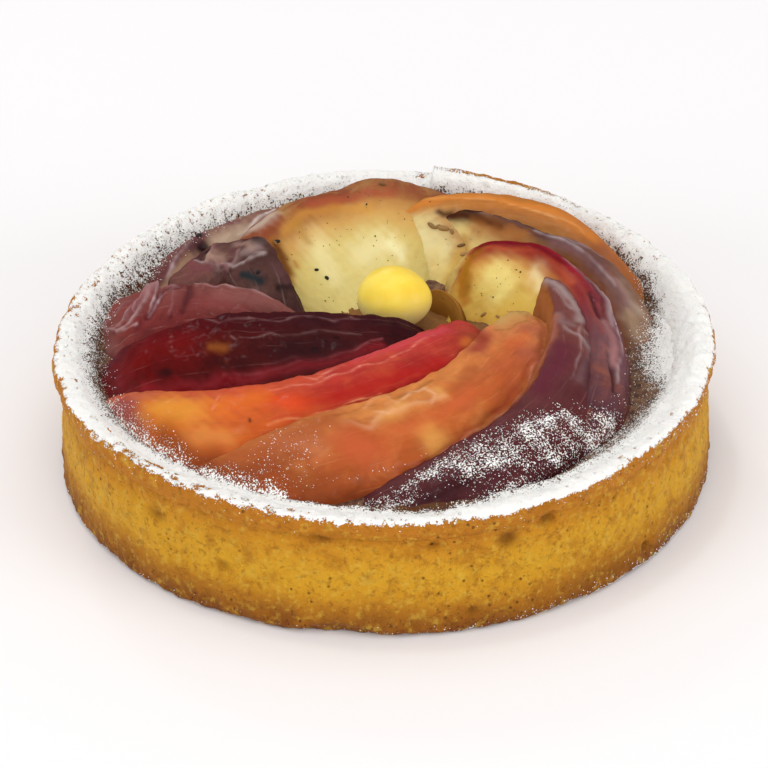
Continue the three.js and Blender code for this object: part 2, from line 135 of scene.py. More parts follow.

# One row for each wedge. Down to widen, the values give its shape, which is the solid's but for
# fuller ends of the maroon and pink wedges and a slimmer flap at the core.
# name, node: the piece here, and the solid that it stands for
# ridge: points on the wedge's highest line, from the well to the rim
# skin_reach, flesh_reach: how far the two sides reach out from the ridge, near the well and rim
# blunt: the share of the length over which each end rounds off
# aim: 1 where the flesh slopes straight to the nut, 0 where it slopes square to the ridge
# hollow: how deeply the pit has scooped the flesh, as a share of the height
# widen: the share of the length over which the flesh widens from the well
# skin: the skin's colours from the well to the rim; flesh: from the ridge down
# foot, crest: bands low on the skin and on the ridge, as (colour, how far they reach, strength)
# crest_end: the share of the length at which the ridge's band ends
# near_flesh, rim_flesh: the flesh near the well and the rim, as (colour, from, to) in shares
# fade: how softly the skin goes over into the flesh
# mottle: (colour, blotch size in mm, strength)
# lines: pale lines of set glaze, their paleness partly painted highlight, as (colour, spacing in
# mm, strength)
# striped: how much of the mottle, streaks and lines the flesh has too
# swell, furrow: how high the lumps and the lengthwise wrinkles stand, in mm
WEDGES = [
    dict(
        name="peach_orange", node="wedge_front_orange",
        ridge=[(28, 5, 18), (21, 0.8, 24.4), (8.5, -17.5, 25), (-1, -25.5, 25.2),
            (-12.5, -30.6, 24.6), (-22, -33, 22.2), (-35, -27, 17)],
        skin_reach=(14, 12), flesh_reach=(4.5, 4), blunt=(0.1, 0.3),
        skin=["#b0753f", "#ae5d43", "#b75a2f", "#bb602c", "#a95327", "#9a441d", "#6f3013"],
        crest=("#d98a4c", 0.3, 0.6), foot=("#99482a", 0.45, 0.6),
        flesh=["#c9803f", "#b06032"],
        mottle=("#dc9450", 7, 0.45), lines=("#e8b07c", 2.6, 0.25), swell=0.9, furrow=0.35,
    ),
    dict(
        name="peach_red", node="wedge_front_red",
        ridge=[(17.5, 1.5, 20), (12.5, -2, 24.4), (-0.8, -13.4, 26), (-12.8, -20.8, 26),
            (-26, -22.5, 25), (-37, -18, 22.5), (-46, -8, 17)],
        skin_reach=(15, 12), flesh_reach=(5, 5), blunt=(0.12, 0.3),
        skin=["#8e382b", "#962623", "#9f2523", "#a92f1f", "#c35725", "#bb5920", "#b17945",
            "#9f704b"],
        crest=("#c4443c", 0.4, 0.6), foot=("#a0281c", 0.35, 0.5),
        flesh=["#c23c34", "#8a1f24"],
        mottle=("#d86a3a", 6, 0.3), lines=("#e89a84", 2.2, 0.25), swell=0.8, furrow=0.35,
    ),
    dict(
        name="peach_maroon", node="wedge_left_maroon",
        ridge=[(9.5, 1.5, 21.5), (2, -0.6, 24.2), (-13.4, -2.2, 26.4), (-24, -2.6, 26.4),
            (-35, -4, 24.5), (-47, -4, 17)],
        skin_reach=(15, 12), flesh_reach=(4, 5), blunt=(0.16, 0.14),
        skin=["#1e080c", "#3a1013", "#4b1a19", "#431616", "#4b0c0b", "#550705", "#67110e",
            "#732f35"],
        crest=("#30101a", 0.25, 0.5), foot=("#86222a", 0.3, 0.8),
        flesh=["#401820", "#6a2c34"],
        mottle=("#1c080a", 5, 0.5), lines=("#8a5c5c", 3.1, 0.5), swell=0.7, furrow=0.5,
    ),
    dict(
        name="peach_pink", node="wedge_left_pink",
        ridge=[(-9, 6, 20.5), (-19, 8.2, 24), (-26, 9.6, 24.8), (-33, 11, 24.2), (-40, 11, 22.4),
            (-49, 9, 17.5)],
        skin_reach=(11, 13), flesh_reach=(4, 12), blunt=(0.3, 0.12),
        skin=["#7c4038", "#5c2f29", "#71322c", "#752c2b", "#7e3732", "#855b56"],
        crest=("#84504a", 0.4, 0.5), foot=("#5e1c20", 0.4, 0.6),
        flesh=["#7a4440", "#50262a"],
        mottle=("#5a2426", 5, 0.4), lines=("#b89490", 3.6, 0.4), swell=1.0, furrow=0.8,
    ),
    dict(
        name="peach_folded", node="wedge_left_folded",
        ridge=[(-12, 8, 20), (-15.6, 14.5, 24), (-20, 20.8, 27), (-26.5, 24.5, 24),
            (-40, 28, 17.5)],
        skin_reach=(9, 11), flesh_reach=(3, 5), blunt=(0.3, 0.4),
        skin=["#503030", "#724d44", "#563733", "#744d47", "#774b45", "#704a46"],
        crest=("#38221e", 0.3, 0.5), foot=("#40262a", 0.3, 0.5),
        flesh=["#5a4038", "#46282a"],
        mottle=("#2a1a1c", 4, 0.5), lines=("#b09a94", 3.4, 0.4), swell=1.0, furrow=0.7,
    ),
    dict(
        name="peach_plum", node="wedge_right_plum",
        ridge=[(24.6, 17.5, 23), (25.8, 11, 25.6), (26.6, -4, 25.4), (21.4, -23, 23.8),
            (10, -34.5, 21.8), (-10, -42, 17)],
        skin_reach=(8, 14), flesh_reach=(4.5, 8), blunt=(0.16, 0.3),
        skin=["#6a443c", "#7c453b", "#643332", "#502428", "#4c2428", "#481f24"],
        crest=("#6a3c3c", 0.4, 0.4), foot=("#3a1418", 0.4, 0.5),
        flesh=["#96582c", "#8c5030"],
        rim_flesh=("#5c2c30", 0.45, 0.6),
        mottle=("#74403c", 5, 0.4), lines=("#a08078", 3.0, 0.3), swell=0.8, furrow=0.5,
    ),
    dict(
        name="peach_crimson", node="wedge_right_crimson",
        ridge=[(9.5, 18.6, 19), (16, 19.4, 25.2), (24, 16.2, 27), (30.2, 6, 26.7),
            (32.8, -7, 25.2), (30.4, -22, 22.2), (21, -36, 17)],
        skin_reach=(6, 5), flesh_reach=(14, 9), blunt=(0.12, 0.25), aim=0.5, hollow=0.04,
        skin=["#a8661c", "#7c1420", "#7c262a", "#6e4a4e", "#5a363c", "#381415"],
        crest=("#8c1c28", 0.4, 0.7), foot=("#4a2022", 0.4, 0.6), crest_end=0.56,
        flesh=["#c87838", "#d5b458", "#dcb04c"],
        rim_flesh=("#6c3238", 0.36, 0.5), fade=0.3,
        mottle=("#c06a3c", 5, 0.3), lines=("#b89890", 2.8, 0.25), swell=0.6, furrow=0.3,
    ),
    dict(
        name="peach_grey_plum", node="wedge_back_plum",
        ridge=[(6, 33, 24.2), (14, 30.6, 25.8), (24.5, 23.2, 26), (31, 19, 25.8),
            (37, 11.5, 23.2), (40.4, -2, 17)],
        skin_reach=(5, 5), flesh_reach=(15, 10), blunt=(0.15, 0.25), aim=0.3, hollow=0.03,
        widen=0.42,
        skin=["#3c241c", "#4a2c24", "#6a443a", "#745044", "#8a6752", "#a07a66"],
        crest=("#4c2c22", 0.35, 0.6), foot=("#644038", 0.4, 0.5),
        flesh=["#7c4c20", "#845124", "#b48030", "#cda050"],
        near_flesh=("#d4b878", 0.5, 0.2), rim_flesh=("#80503c", 0.55, 0.72), fade=0.16,
        mottle=("#86604c", 4, 0.4), lines=("#a89088", 2.6, 0.3), swell=0.6, furrow=0.4,
    ),
    dict(
        name="peach_amber", node="wedge_back_amber",
        ridge=[(-8, 31, 21), (0, 33, 24.4), (14, 35, 26.4), (27.6, 32, 26.2), (34.5, 27.6, 25.2),
            (44, 10, 17)],
        skin_reach=(6, 7), flesh_reach=(21, 16), blunt=(0.3, 0.25), aim=0.6, widen=0.5,
        skin=["#d8bc80", "#c08848", "#b07034", "#a0603a", "#945a42", "#845a40"],
        crest=("#b8702c", 0.5, 0.7), foot=("#965a38", 0.4, 0.5),
        flesh=["#a4683a", "#a86c38", "#b8894c", "#d8bc74", "#e1cb80"],
        near_flesh=("#e0cc8c", 0.38, 0.16), rim_flesh=("#985a40", 0.6, 0.86), fade=0.2,
        striped=0.9,
        mottle=("#c08440", 6, 0.3), lines=("#d0a468", 2.2, 0.3), swell=0.5, furrow=0.3,
    ),
    dict(
        name="peach_cream", node="wedge_back_cream",
        ridge=[(-21, 10, 18.5), (-21, 24, 23.6), (-15, 33, 25.8), (-6, 37, 26.6),
            (-1, 38.6, 27.6), (7, 38, 26.2), (25, 40, 18)],
        skin_reach=(6, 7), flesh_reach=(25, 26), blunt=(0.2, 0.3), aim=1, hollow=0.1,
        skin=["#7a4a38", "#80442e", "#86462c", "#7a4032", "#704038", "#643a34"],
        crest=("#8e4a2e", 0.5, 0.8), foot=("#6a4438", 0.4, 0.5),
        flesh=["#8a4a28", "#c89854", "#d4bc70", "#dcc97e", "#e2d084", "#ecdc98"],
        mottle=("#d8bc70", 6, 0.3), lines=("#c89870", 2.6, 0.3), swell=0.6, furrow=0.3,
    ),
    dict(
        name="peach_pale", node="wedge_left_pale",
        ridge=[(-39.5, 19, 17.5), (-33.6, 26, 21.4), (-29.4, 30, 22.4), (-23.5, 33.6, 23),
            (-17, 37.5, 23.2), (-3, 44, 17.5)],
        skin_reach=(5, 6), flesh_reach=(12, 12), blunt=(0.2, 0.25),
        skin=["#6a3e3c", "#704440", "#9a7862", "#a07c66", "#90664e", "#7a5446"],
        crest=("#6e403e", 0.5, 0.6), foot=("#70504a", 0.4, 0.5),
        flesh=["#906c54", "#ac9280", "#9c7c68"],
        mottle=("#805c50", 5, 0.3), lines=("#d0bcb0", 3.0, 0.35), swell=0.6, furrow=0.5,
    ),
    dict(
        name="peach_core", node="core_flap",
        ridge=[(5.5, 15.5, 18.5), (8.6, 13.8, 20.8), (11, 11.4, 20.6), (13, 7, 18.5)],
        skin_reach=(1.6, 1.6), flesh_reach=(1.2, 1.2), blunt=(0.3, 0.3),
        skin=["#8a5a24", "#8a5820", "#6a4216"],
        crest=("#b8863c", 0.4, 0.5), foot=("#5a3a14", 0.4, 0.6),
        flesh=["#ac7c38", "#8a5a20"],
        mottle=("#6a4014", 3, 0.4), lines=("#c8a460", 1.6, 0.3), swell=0.3, furrow=0.2,
    ),
]

# Local colours, glaze lines and folds. Many strokes are painted light: the pale grey, lilac and
# pink strokes on the skin are painted highlights and sheen on the glaze, the whitish patches on
# the cut flesh are painted highlight, the dark strokes along the creases between folds are painted
# shade in them, and some broad dark strokes are painted shadow where wedges meet. A stroke is
# (colour, half width, strength, how far it lifts the skin, then the points of its path), each
# point
# as two numbers: how far along the wedge from the well, and how far across it from its ridge, less
# than 0 on the skin, more on the flesh.
STROKES = {
    "peach_crimson": [
        ("#a8661c", 1.4, 0.9, 0, 6.3, -0.1, 6.8, 3.2, 9.5, 7.8),
        ("#5c3a44", 1.2, 0.7, 0.2, 31.2, -3.3, 37.8, -3.6, 44.4, -3.9, 52.7, -4.5),
        ("#a89494", 0.35, 0.7, 0.15, 33.1, -3.4, 40.2, -3.7, 46.7, -3.9, 53.5, -3.7),
        ("#32141c", 0.5, 0.8, -0.4, 33.9, -0.7, 41.3, -1.2, 49, -2.3, 55.9, -3.4),
        ("#94122a", 1.0, 0.9, 0, 8, -2.7, 11.1, -0.7, 14.6, -1.6, 18.5, -1.4, 23, -1.7,
         28.1, -1.4),
        ("#c86038", 0.6, 0.6, 0, 9.7, 0.4, 13.1, 0.9, 18.1, 0.4, 24.1, 0.3, 30.4, 0.3),
        ("#8a4038", 0.5, 0.6, 0, 26.3, 0.1, 32.7, -0.1, 39, -0.3, 44.1, -0.6),
        ("#a89090", 0.3, 0.7, 0.12, 29.3, -2.8, 33.1, -3.4, 37.8, -3.6),
        ("#b87420", 1.3, 0.8, 0, 5.7, -0.9, 7.5, 6.1, 11.6, 11),
        ("#f0e08c", 2.6, 0.75, 0, 14.6, 5.7, 18.8, 7.2, 18.5, 8.9),
        ("#f2e6b0", 1.6, 0.6, 0, 22.3, 2.9, 25.9, 4.8),
        ("#b06a34", 0.7, 0.6, 0, 22.3, 2.1, 26.6, 2.4),
        ("#9c8486", 0.5, 0.75, 0.15, 23.7, -1.8, 26.6, -2.6, 30, -2.9, 35.1, -3.5, 42.1, -2.7),
        ("#5c2026", 0.5, 0.7, -0.1, 26.6, -2.6, 32.4, -2.7, 39.4, -2.2, 45.2, -2),
        ("#a85040", 0.4, 0.6, 0, 46.4, -0.8, 47.1, -2),
        ("#ccb068", 1.7, 0.9, 0, 2.2, 0.8, 3.4, -3, 5.3, -2.8),
        ("#a06c1c", 1.2, 0.95, 0, 10.5, 9, 8.2, 4.9, 7, 1, 9.2, 0.6),
        ("#6e0c18", 1.4, 0.92, 0, 9.2, -0.5, 11.6, -0.7, 15.5, -0.8, 20.5, -0.3, 24.8, -0.7),
        ("#a87878", 0.8, 0.6, 0.1, 41.7, -1.5, 45.6, -2.2, 50.2, -3.1),
    ],
    "peach_red": [
        ("#743040", 1.6, 0.7, 0, 67, -3.2, 63.6, -5.3, 60.2, -8),
        ("#e08c78", 0.2, 0.7, 0.1, 44.5, -1.9, 38.4, -2.3, 35.2, -2.4, 31.2, -2.4, 26.5, -3.5,
         23.5, -2.4, 16.1, -1.7),
        ("#e8a890", 0.2, 0.6, 0.1, 38.8, -0.3, 37.2, -1.6, 35.6, -1.2, 32, -0.3),
        ("#a81c18", 1.6, 0.6, 0, 39.2, -5.8, 33.6, -6.5, 28.8, -6.8, 19.5, -8.1),
        ("#c84450", 1.2, 0.6, 0, 30, -0.3, 20.9, -0.3, 13.6, -1.7),
        ("#e07024", 2.6, 0.6, 0, 50.5, -4.2, 46.5, -3.3),
        ("#e09838", 3.0, 0.7, 0, 55.1, -5.3, 58.8, -4),
        ("#d8904a", 1.6, 0.5, 0, 53.2, -9.5, 50.5, -10),
        ("#d84018", 1.6, 0.6, 0, 43.7, -4.6, 41.3, -6),
        ("#1c0c08", 0.25, 0.9, 0, 47.7, -7.5, 47.7, -8),
        ("#8c3028", 0.9, 0.7, 0, 11.2, -5.9, 7.5, -3.9, 8.5, -2.9),
        ("#b83c28", 0.25, 0.6, -0.1, 44.9, -8.3, 40.5, -7.9, 36, -8, 29.6, -7.9, 21.6, -8.1),
        ("#e8a070", 0.18, 0.6, 0.08, 45.3, -8.8, 40.9, -8.7, 36, -8.3, 30.8, -8.7),
        ("#c4702c", 1.0, 0.6, 0, 10.9, -5.3, 13, -6.2),
        ("#7c3c1c", 1.6, 0.75, 0, 57.3, -8.9, 54.3, -11.9, 52, -13.1),
        ("#8c3428", 0.9, 0.75, 0, 11.2, -4.3, 10.4, -5.6),
    ],
    "peach_orange": [
        # The first stroke darkens the wedge's outer end: painted shadow
        ("#643026", 1.8, 0.7, 0, 73.7, -3.9, 71.7, -4.7, 66.9, -7.2),
        ("#943830", 1.5, 0.85, 0, 21.1, 0.8, 22.3, -0.8, 25.3, -1.2),
        ("#bc9658", 2.0, 0.85, -0.3, 16.2, -0.3, 12.3, -0.8, 8.4, -0.3),
        ("#8c6030", 0.25, 0.7, 0.15, 19.7, -1.6, 17.6, -3, 12.9, -3.7, 8.1, -0.8, 8.9, -0.3,
         12.6, -0.3),
        ("#8c4424", 0.7, 0.6, 0, 8.4, -3.1, 12.6, -6.7, 18.6, -9),
        ("#e0a058", 1.1, 0.7, 0.2, 37.7, -3.6, 37.7, -5.3),
        ("#dc9a50", 1.6, 0.6, 0.15, 44, -3.8, 47, -5.2),
        ("#dca050", 1.6, 0.6, 0.1, 42.8, -9.5, 42.8, -11.2),
        ("#dc9850", 1.3, 0.6, 0.15, 52.4, -2.8, 54.5, -4.3),
        ("#dca478", 0.6, 0.45, 0.1, 52.4, -3.5, 49.5, -5.8, 46.2, -4.1, 41.9, -4.4, 37.7, -5.6),
        ("#7c4a20", 0.3, 0.6, -0.15, 62.6, -0.3, 58, -0.3, 52.4, -1.5, 44.9, -1.5, 36.4, -1.2),
        ("#a0402c", 0.25, 0.6, -0.1, 45.7, -12.8, 39.4, -12.2, 33.9, -11.1, 28.1, -10.2,
         19, -9.7),
        ("#e0a080", 0.2, 0.5, 0.08, 44, -12.8, 38.5, -12.4, 32.6, -11.7, 26.5, -11.3, 17.9, -9.4),
        ("#8a4420", 2.4, 0.6, 0, 65.5, -5.6, 61.5, -10.8, 58.4, -12.6),
        ("#c88058", 2.2, 0.5, 0, 62.2, -2.4, 58, -6.2),
        ("#b8502c", 2.6, 0.5, 0, 53.6, -7.5, 49.1, -9.6),
        ("#a05430", 1.5, 0.5, 0, 30.2, -4.2, 33.9, -5.1),
        ("#c4582c", 1.4, 0.5, 0, 21.9, -4.9, 17.9, -5.8),
        ("#eab48c", 0.25, 0.6, 0.12, 48.3, -1.9, 46.2, -0.3, 44, -0.7, 44, -3.2, 46.2, -4.7,
         47.4, -3.2),
        ("#eab48c", 0.25, 0.6, 0.12, 43.6, -2.9, 40.6, -1.2, 38.5, -1.9, 38.5, -4.5, 40.2, -5.9),
        ("#c86038", 1.6, 0.5, 0, 46.2, -7.8, 39.8, -7.9, 33.9, -7),
        ("#c05c38", 2.4, 0.5, 0, 53.6, -4, 52.8, -8, 50.8, -10.4),
        ("#9c4a28", 3.0, 0.65, 0, 67.5, -2.6, 61.9, -2.8, 54.1, -2.2),
        ("#8a4424", 1.6, 0.75, 0, 73.4, -3.5, 69.5, -4.9, 66.9, -6.8),
        ("#8c3c28", 1.0, 0.8, 0, 22.6, 0.5, 22.6, -0.8),
    ],
    "peach_pale": [
        ("#180f0e", 0.8, 0.95, -0.2, 14.3, 0.7, 14.3, 1.7),
        ("#181014", 0.9, 0.95, -0.2, 14.3, 0.7, 14.5, 0.9),
        ("#d8ccc8", 0.45, 0.8, 0.25, 29.5, -0.3, 25, 1.1, 21.4, 2.4),
        ("#b4a0a4", 0.45, 0.75, 0.25, 13.2, -1, 8.4, 0.3, 5.5, 0.8),
        ("#bca48e", 2.0, 0.7, 0, 17.4, 1.8, 20.2, 2.4, 21.9, 1.3),
        ("#6a3a40", 0.9, 0.7, 0, 14.3, -1.4, 18.6, -2, 22.4, -1.2),
        ("#7c4c50", 1.4, 0.5, 0, 30.9, -2.2),
        ("#6c3a42", 1.2, 0.7, 0, 11.7, 2.4, 13.6, 2.2),
        ("#180f0e", 1.5, 0.97, -0.2, 13.6, 0.7, 14.3, 1.7),
        ("#5a3438", 0.9, 0.85, 0, 12.1, 0.1, 13.8, -0.1, 15.6, -0.9),
    ],
    "peach_folded": [
        ("#180f0e", 0.8, 0.95, -0.2, 27.3, -1.5),
        ("#94686c", 0.6, 0.6, 0.6, 25.8, -1.2, 26, -3.3, 21.9, -6.4, 16.6, -7.7),
        ("#3a2024", 0.8, 0.7, -0.5, 29.9, 0, 26.7, -4.8, 21.3, -7.7),
        ("#a88a78", 1.3, 0.8, 0, 26.2, -3.7, 21.9, -5.8),
        ("#7c4448", 1.0, 0.7, 0, 31, -1.6, 28.5, -4.5, 24.6, -6),
        ("#b4a0a0", 0.25, 0.7, 0.2, 29.2, -2.5, 24.6, -5.4, 20.7, -7.3),
        ("#5c2c34", 0.8, 0.7, -0.3, 18.4, -6.1, 20.3, -2.2, 19.5, -0.2),
        ("#84706c", 0.9, 0.7, 0.2, 16.2, -4.4, 15.2, -2.2, 16.2, -0.2),
        ("#a89894", 0.22, 0.6, 0.2, 14, -5.6, 14, -2.9, 13.4, -1.4),
        ("#14282c", 0.8, 0.9, 0, 12.3, -6.7, 9.2, -4.5),
        ("#2c1c1e", 1.2, 0.7, 0, 18.8, -0.2, 16.2, -0.2),
        ("#b8a8a6", 0.3, 0.7, 0.15, 22.3, -6.8, 15.6, -7.2, 13.6, -4.6, 13.2, -1.9),
        ("#8a7270", 0.9, 0.6, 0, 15, -3.1, 14.8, -1.7),
        ("#927874", 0.8, 0.5, 0, 16.4, -6.5, 18.6, -4.1),
        ("#6e3c40", 1.2, 0.6, 0, 29, -5.1, 22.3, -6.4),
        ("#140c0c", 0.7, 0.85, 0, 6.9, -2.3, 6.7, 2.3),
        ("#5c3c3e", 1.0, 0.6, 0, 10.8, -1.1, 7.7, -0.8),
        ("#9c7c70", 0.9, 0.65, 0, 20.5, -1.5, 15.8, -2.7),
    ],
    "peach_pink": [
        ("#9c7c80", 0.6, 0.5, 0.8, 28.6, -0.3, 30.1, -1.5, 32.8, -3.7, 34.6, -4.8),
        ("#521e28", 0.7, 0.7, -0.6, 24.6, -0.3, 27.2, -1.4, 28.9, -5, 29.9, -7),
        ("#8c5a5c", 0.5, 0.5, 0.7, 25.1, -2.4, 25.5, -7.2),
        ("#4a1c22", 0.7, 0.7, -0.5, 23.1, -0.2, 22.9, -3.3, 22.9, -6.9),
        ("#ccb4b8", 0.2, 0.8, 0.1, 28.2, -0.3, 28.9, -2.8, 29.9, -5.6),
        ("#c4acb0", 0.18, 0.8, 0.1, 29.7, -1.1, 31.8, -2.5, 33.2, -4.5),
        ("#b49a9c", 0.16, 0.7, 0.1, 24.8, -0.3, 27.4, 0.1, 28.2, -4.2),
        ("#b49a9c", 0.35, 0.75, 0.35, 28.4, 0.1, 30.1, -2.5, 33.3, -5.9, 36.7, -6.9),
        ("#a88c8e", 0.35, 0.65, 0.3, 28.6, -0.3, 32.6, -2.8, 37.3, -6),
        ("#b09094", 0.3, 0.7, 0.3, 25.7, -0.7, 27.8, -3, 29.9, -6.8),
        ("#8a6a6c", 0.3, 0.5, 0.2, 29.9, -1.1, 34.8, -1.8, 39, -3.4),
        ("#5c1c22", 1.2, 0.6, 0, 30.5, -6.8, 32.8, -8.2),
        ("#7a2c30", 1.2, 0.5, 0, 29.7, -0.7, 33.7, -4),
        ("#c8b4b4", 0.25, 0.75, 0.1, 22, -0.2, 17.9, -0.7, 14.3, -0.2, 9.6, -0.2),
        ("#b89c9c", 0.25, 0.7, 0.1, 39.2, -3.3, 36.7, -6.9, 32.6, -7.5),
        ("#8c5450", 2.2, 0.6, 0, 17.2, -3.2, 11.8, -1.7, 7.5, -0.2),
        ("#803c3c", 1.5, 0.5, 0, 20.5, -4.9, 13, -5.2),
    ],
    "peach_maroon": [
        ("#8c6464", 0.22, 0.6, 0.08, 38.6, -0.3, 36.2, -2.3, 33.2, -1.6, 29.5, -2.3, 26.8, -2.7,
         25.3, -2, 21.4, -1.6, 18.5, -2.4, 14.4, -1.3),
        ("#84605e", 0.2, 0.5, 0.06, 32.9, -6, 28.3, -5.8, 26.5, -6.4, 23.5, -5.3, 20, -4.5,
         14.7, -5.5),
        ("#a85c60", 0.22, 0.6, 0.06, 36.5, -12.3, 32.9, -12, 29.2, -12.2, 25.9, -11.4, 22, -10.4,
         16.6, -8.8, 11.4, -6),
        ("#7c4448", 0.2, 0.45, 0.05, 29.2, -10.9, 25.3, -10.3, 22.9, -10.2),
        ("#8c3e40", 0.18, 0.45, 0.05, 40.6, -12.6, 32.3, -12.9, 25.3, -12.1, 18.5, -10.3),
        ("#8a2028", 1.0, 0.7, 0, 48.1, -11.4, 40.6, -12.8, 32.3, -12.9, 22, -11.3, 11.6, -7.8),
        ("#701214", 4.5, 0.6, 0, 47.6, -3.4, 43.4, -4.1),
        ("#8a4c4c", 1.6, 0.5, 0, 55.7, -0.6),
        ("#8a4c1c", 0.9, 0.7, 0.1, 38, -7, 36.2, -7.5),
        ("#5e2418", 0.5, 0.6, 0, 35.6, -10.2),
        ("#22080a", 0.55, 0.8, 0, 45.3, -9.3, 44.8, -9.8),
        ("#120608", 0.5, 0.8, 0, 21.7, -8.4),
        ("#120608", 0.45, 0.8, 0, 23.5, -9.2),
        ("#120608", 0.35, 0.7, 0, 18.5, -6),
        ("#120608", 0.35, 0.7, 0, 20.2, -6.9),
        ("#b08470", 0.3, 0.7, 0.05, 15.5, -0.8),
        ("#947070", 0.22, 0.6, 0.05, 34.7, -5.7, 34.1, -6.3),
        ("#947070", 0.22, 0.6, 0.05, 36.5, -11, 35.9, -11.2),
        ("#200a10", 3.0, 0.6, 0, 18.5, -7.7, 25.3, -8.6),
    ],
    "peach_cream": [
        # The palest patches on the cut flesh, here and below, are painted highlight in its hollow
        ("#eee0a4", 3.4, 0.7, 0, 25.5, 9, 24.1, 13.9),
        ("#f2e8b4", 3.0, 0.5, 0, 34.2, 12.3, 41, 12.6),
        ("#b0702c", 0.9, 0.75, 0, 18, 1.9, 16.7, 4.5, 15.5, 7, 12.9, 7.8),
        ("#c88c3c", 1.2, 0.6, 0, 22.5, 2.8, 27.6, 1.9, 32.8, 2.4, 39.2, 4.7),
        ("#a04c34", 1.0, 0.75, 0, 29.3, 0.2, 34.6, 1.5, 39.6, 2, 44.1, 2),
        ("#140e0c", 0.6, 0.9, 0, 17.3, 3.6, 17.3, 4),
        ("#8a4c28", 0.6, 0.6, 0, 18, 7.5, 17.6, 8),
        ("#c09048", 1.0, 0.5, 0, 18, 8),
        ("#6a3c14", 1.6, 0.95, 0, 17.6, 3.2, 16.4, 5.3, 14.1, 7),
        ("#f4ecb8", 1.8, 0.7, 0, 44.1, 12.2, 46.4, 13.5),
        ("#a87830", 1.2, 0.6, 0, 25.2, 3.3, 24.5, 6.8),
        ("#b8a494", 1.2, 0.85, 0.1, 19.2, -2.9, 20.8, -2.5, 23.1, -1.4),
    ],
    "peach_amber": [
        ("#cc7c34", 1.0, 0.8, 0.15, 13.1, 0.1, 17.4, -0.5, 22, -0.7, 27.7, 0.4, 34.2, 1.1,
         38.6, 1.7, 43.9, 2.6, 49.3, 1.6),
        ("#8e5a34", 0.14, 0.6, 0, 14.7, -0.7, 20.1, 0.4, 26.3, 1, 32.1, 1.4, 39.3, 2.6,
         46.8, 2.5),
        ("#a0683c", 0.14, 0.6, 0, 18, 0.6, 23.3, 1.2, 29, 1.4, 35.2, 2.7, 42, 3.6),
        ("#dca468", 0.16, 0.6, 0, 16.2, -0.9, 22, -0.1, 28, 0.8, 34.2, 1.4, 40.6, 2.6, 46.5, 2.2),
        ("#9c5a3c", 1.2, 0.6, 0, 50.2, 1.3, 56.3, -0.1, 59.7, -0.1),
        ("#e8dca4", 2.6, 0.7, 0, 16.5, 6.8, 21.1, 10.1),
        ("#c8983c", 1.6, 0.6, 0, 25.3, 11.9, 23.7, 15.7),
        ("#e2cc80", 2.0, 0.5, 0, 22.4, 14, 18.6, 10.5),
        ("#44200f", 0.7, 0.9, 0, 18.9, 2.1, 20.1, 3, 21.4, 3.1),
    ],
    "peach_grey_plum": [
        ("#241616", 0.9, 0.9, 0, 5.8, -0.7, 8.7, -0.6, 11.2, -0.4),
        ("#8c7472", 0.6, 0.8, 0.1, 11.2, -0.4, 17.1, -1.2, 24.3, -1.4, 28.8, -0.6, 32.6, -3.2),
        ("#4a2c2e", 0.7, 0.8, -0.1, 13.6, -0.1, 20, -0.6, 26, -0.1, 30.7, 0.3),
        ("#5a2a24", 1.2, 0.85, -0.2, 34.8, 1, 35.8, 0.5),
        ("#a89684", 1.2, 0.8, 0.15, 39.2, -0.4, 43, -0.7, 45.2, -2.2),
        ("#8c5a4c", 1.0, 0.6, 0, 36.9, -0.4, 42.8, 0.1),
        ("#9a6030", 1.6, 0.8, 0, 12.4, 1.1, 16.8, 1.2, 20, 0.8),
        ("#e0cc84", 2.0, 0.6, 0, 8.1, 3.2, 13.3, 3.9),
        ("#b07a34", 1.2, 0.7, 0, 8.9, 4.3, 10.8, 6.2),
        ("#3a201a", 0.5, 0.85, 0, 6.7, -1, 9.5, -1.6, 13.8, -1.1, 19.2, -1.4, 23.2, -1.4),
        ("#44200f", 1.1, 0.95, 0, 6.2, 0.3, 8.9, 0.7, 12.2, 0.9, 15.3, 1),
        ("#7a5658", 1.5, 0.7, 0, 26.3, 1, 32.6, 0.8, 38.7, 0.1, 44.5, -0.3),
        ("#b4a4a4", 0.35, 0.75, 0.15, 21.3, -0.9, 27.9, -0.1, 33.7, 0.1, 39.9, 0.1),
        ("#9a5c2c", 1.6, 0.7, 0, 11.2, 2.5, 15.5, 2.4, 19.7, 2.3),
        ("#a88c70", 1.2, 0.7, 0, 45.4, -0.1, 49.3, -0.7),
    ],
    "peach_plum": [
        ("#a08c8a", 1.0, 0.8, 0.15, 9.4, -0.2, 11.9, -1, 17.3, -2.7, 21.1, -3.9),
        ("#a08c8a", 0.4, 0.6, 0.12, 21.9, -0.6, 24.9, -2.4, 26.8, -4.5, 27.9, -5.8),
        ("#a89090", 0.22, 0.5, 0.1, 21.5, -4.1, 26, -4.1, 31.1, -4.4, 36, -4.6),
        ("#8c7474", 0.6, 0.5, 0.05, 23.3, -3.1, 22.6, -1.4, 20.4, -0.5),
        ("#7c6468", 0.9, 0.45, 0, 26.4, -5.5, 30.3, -6.1, 35.1, -5.9),
        ("#9c8484", 0.25, 0.5, 0.08, 14.3, -0.5, 18, -1.4, 21.5, -3.5, 24.9, -5.1),
        ("#5e2034", 2.0, 0.6, 0, 29.5, -1.5, 34.3, -1.8, 40.1, -1),
        ("#9a5c48", 0.7, 0.8, 0, 21.1, -0.2, 27.2, -0.2, 31.5, 1.5, 37.2, 2.8, 42.1, 3.1),
        ("#4a2a30", 1.2, 0.6, 0, 30.7, -6.5, 36, -7.5),
        ("#341418", 1.6, 0.8, 0, 65.9, -6.9, 63.2, -7.3, 60.5, -7.2),
    ],
}

STRAY = 0.5  # how far the strokes stray from their paths, in mm
THIN_STROKE = 0.5  # strokes of less than this half width come and go
NARROWEST_FOLD = 0.35

# Where sugar lies over the fruit at the front right: x, y and half width, in mm
SUGAR_DRIFT = [
    (-8, -45.3, 1.4), (2, -42.6, 2.4), (10, -38.8, 3.4), (20, -34.2, 4.6), (28.4, -29.8, 4.6),
    (36.6, -25.4, 3.5),
]

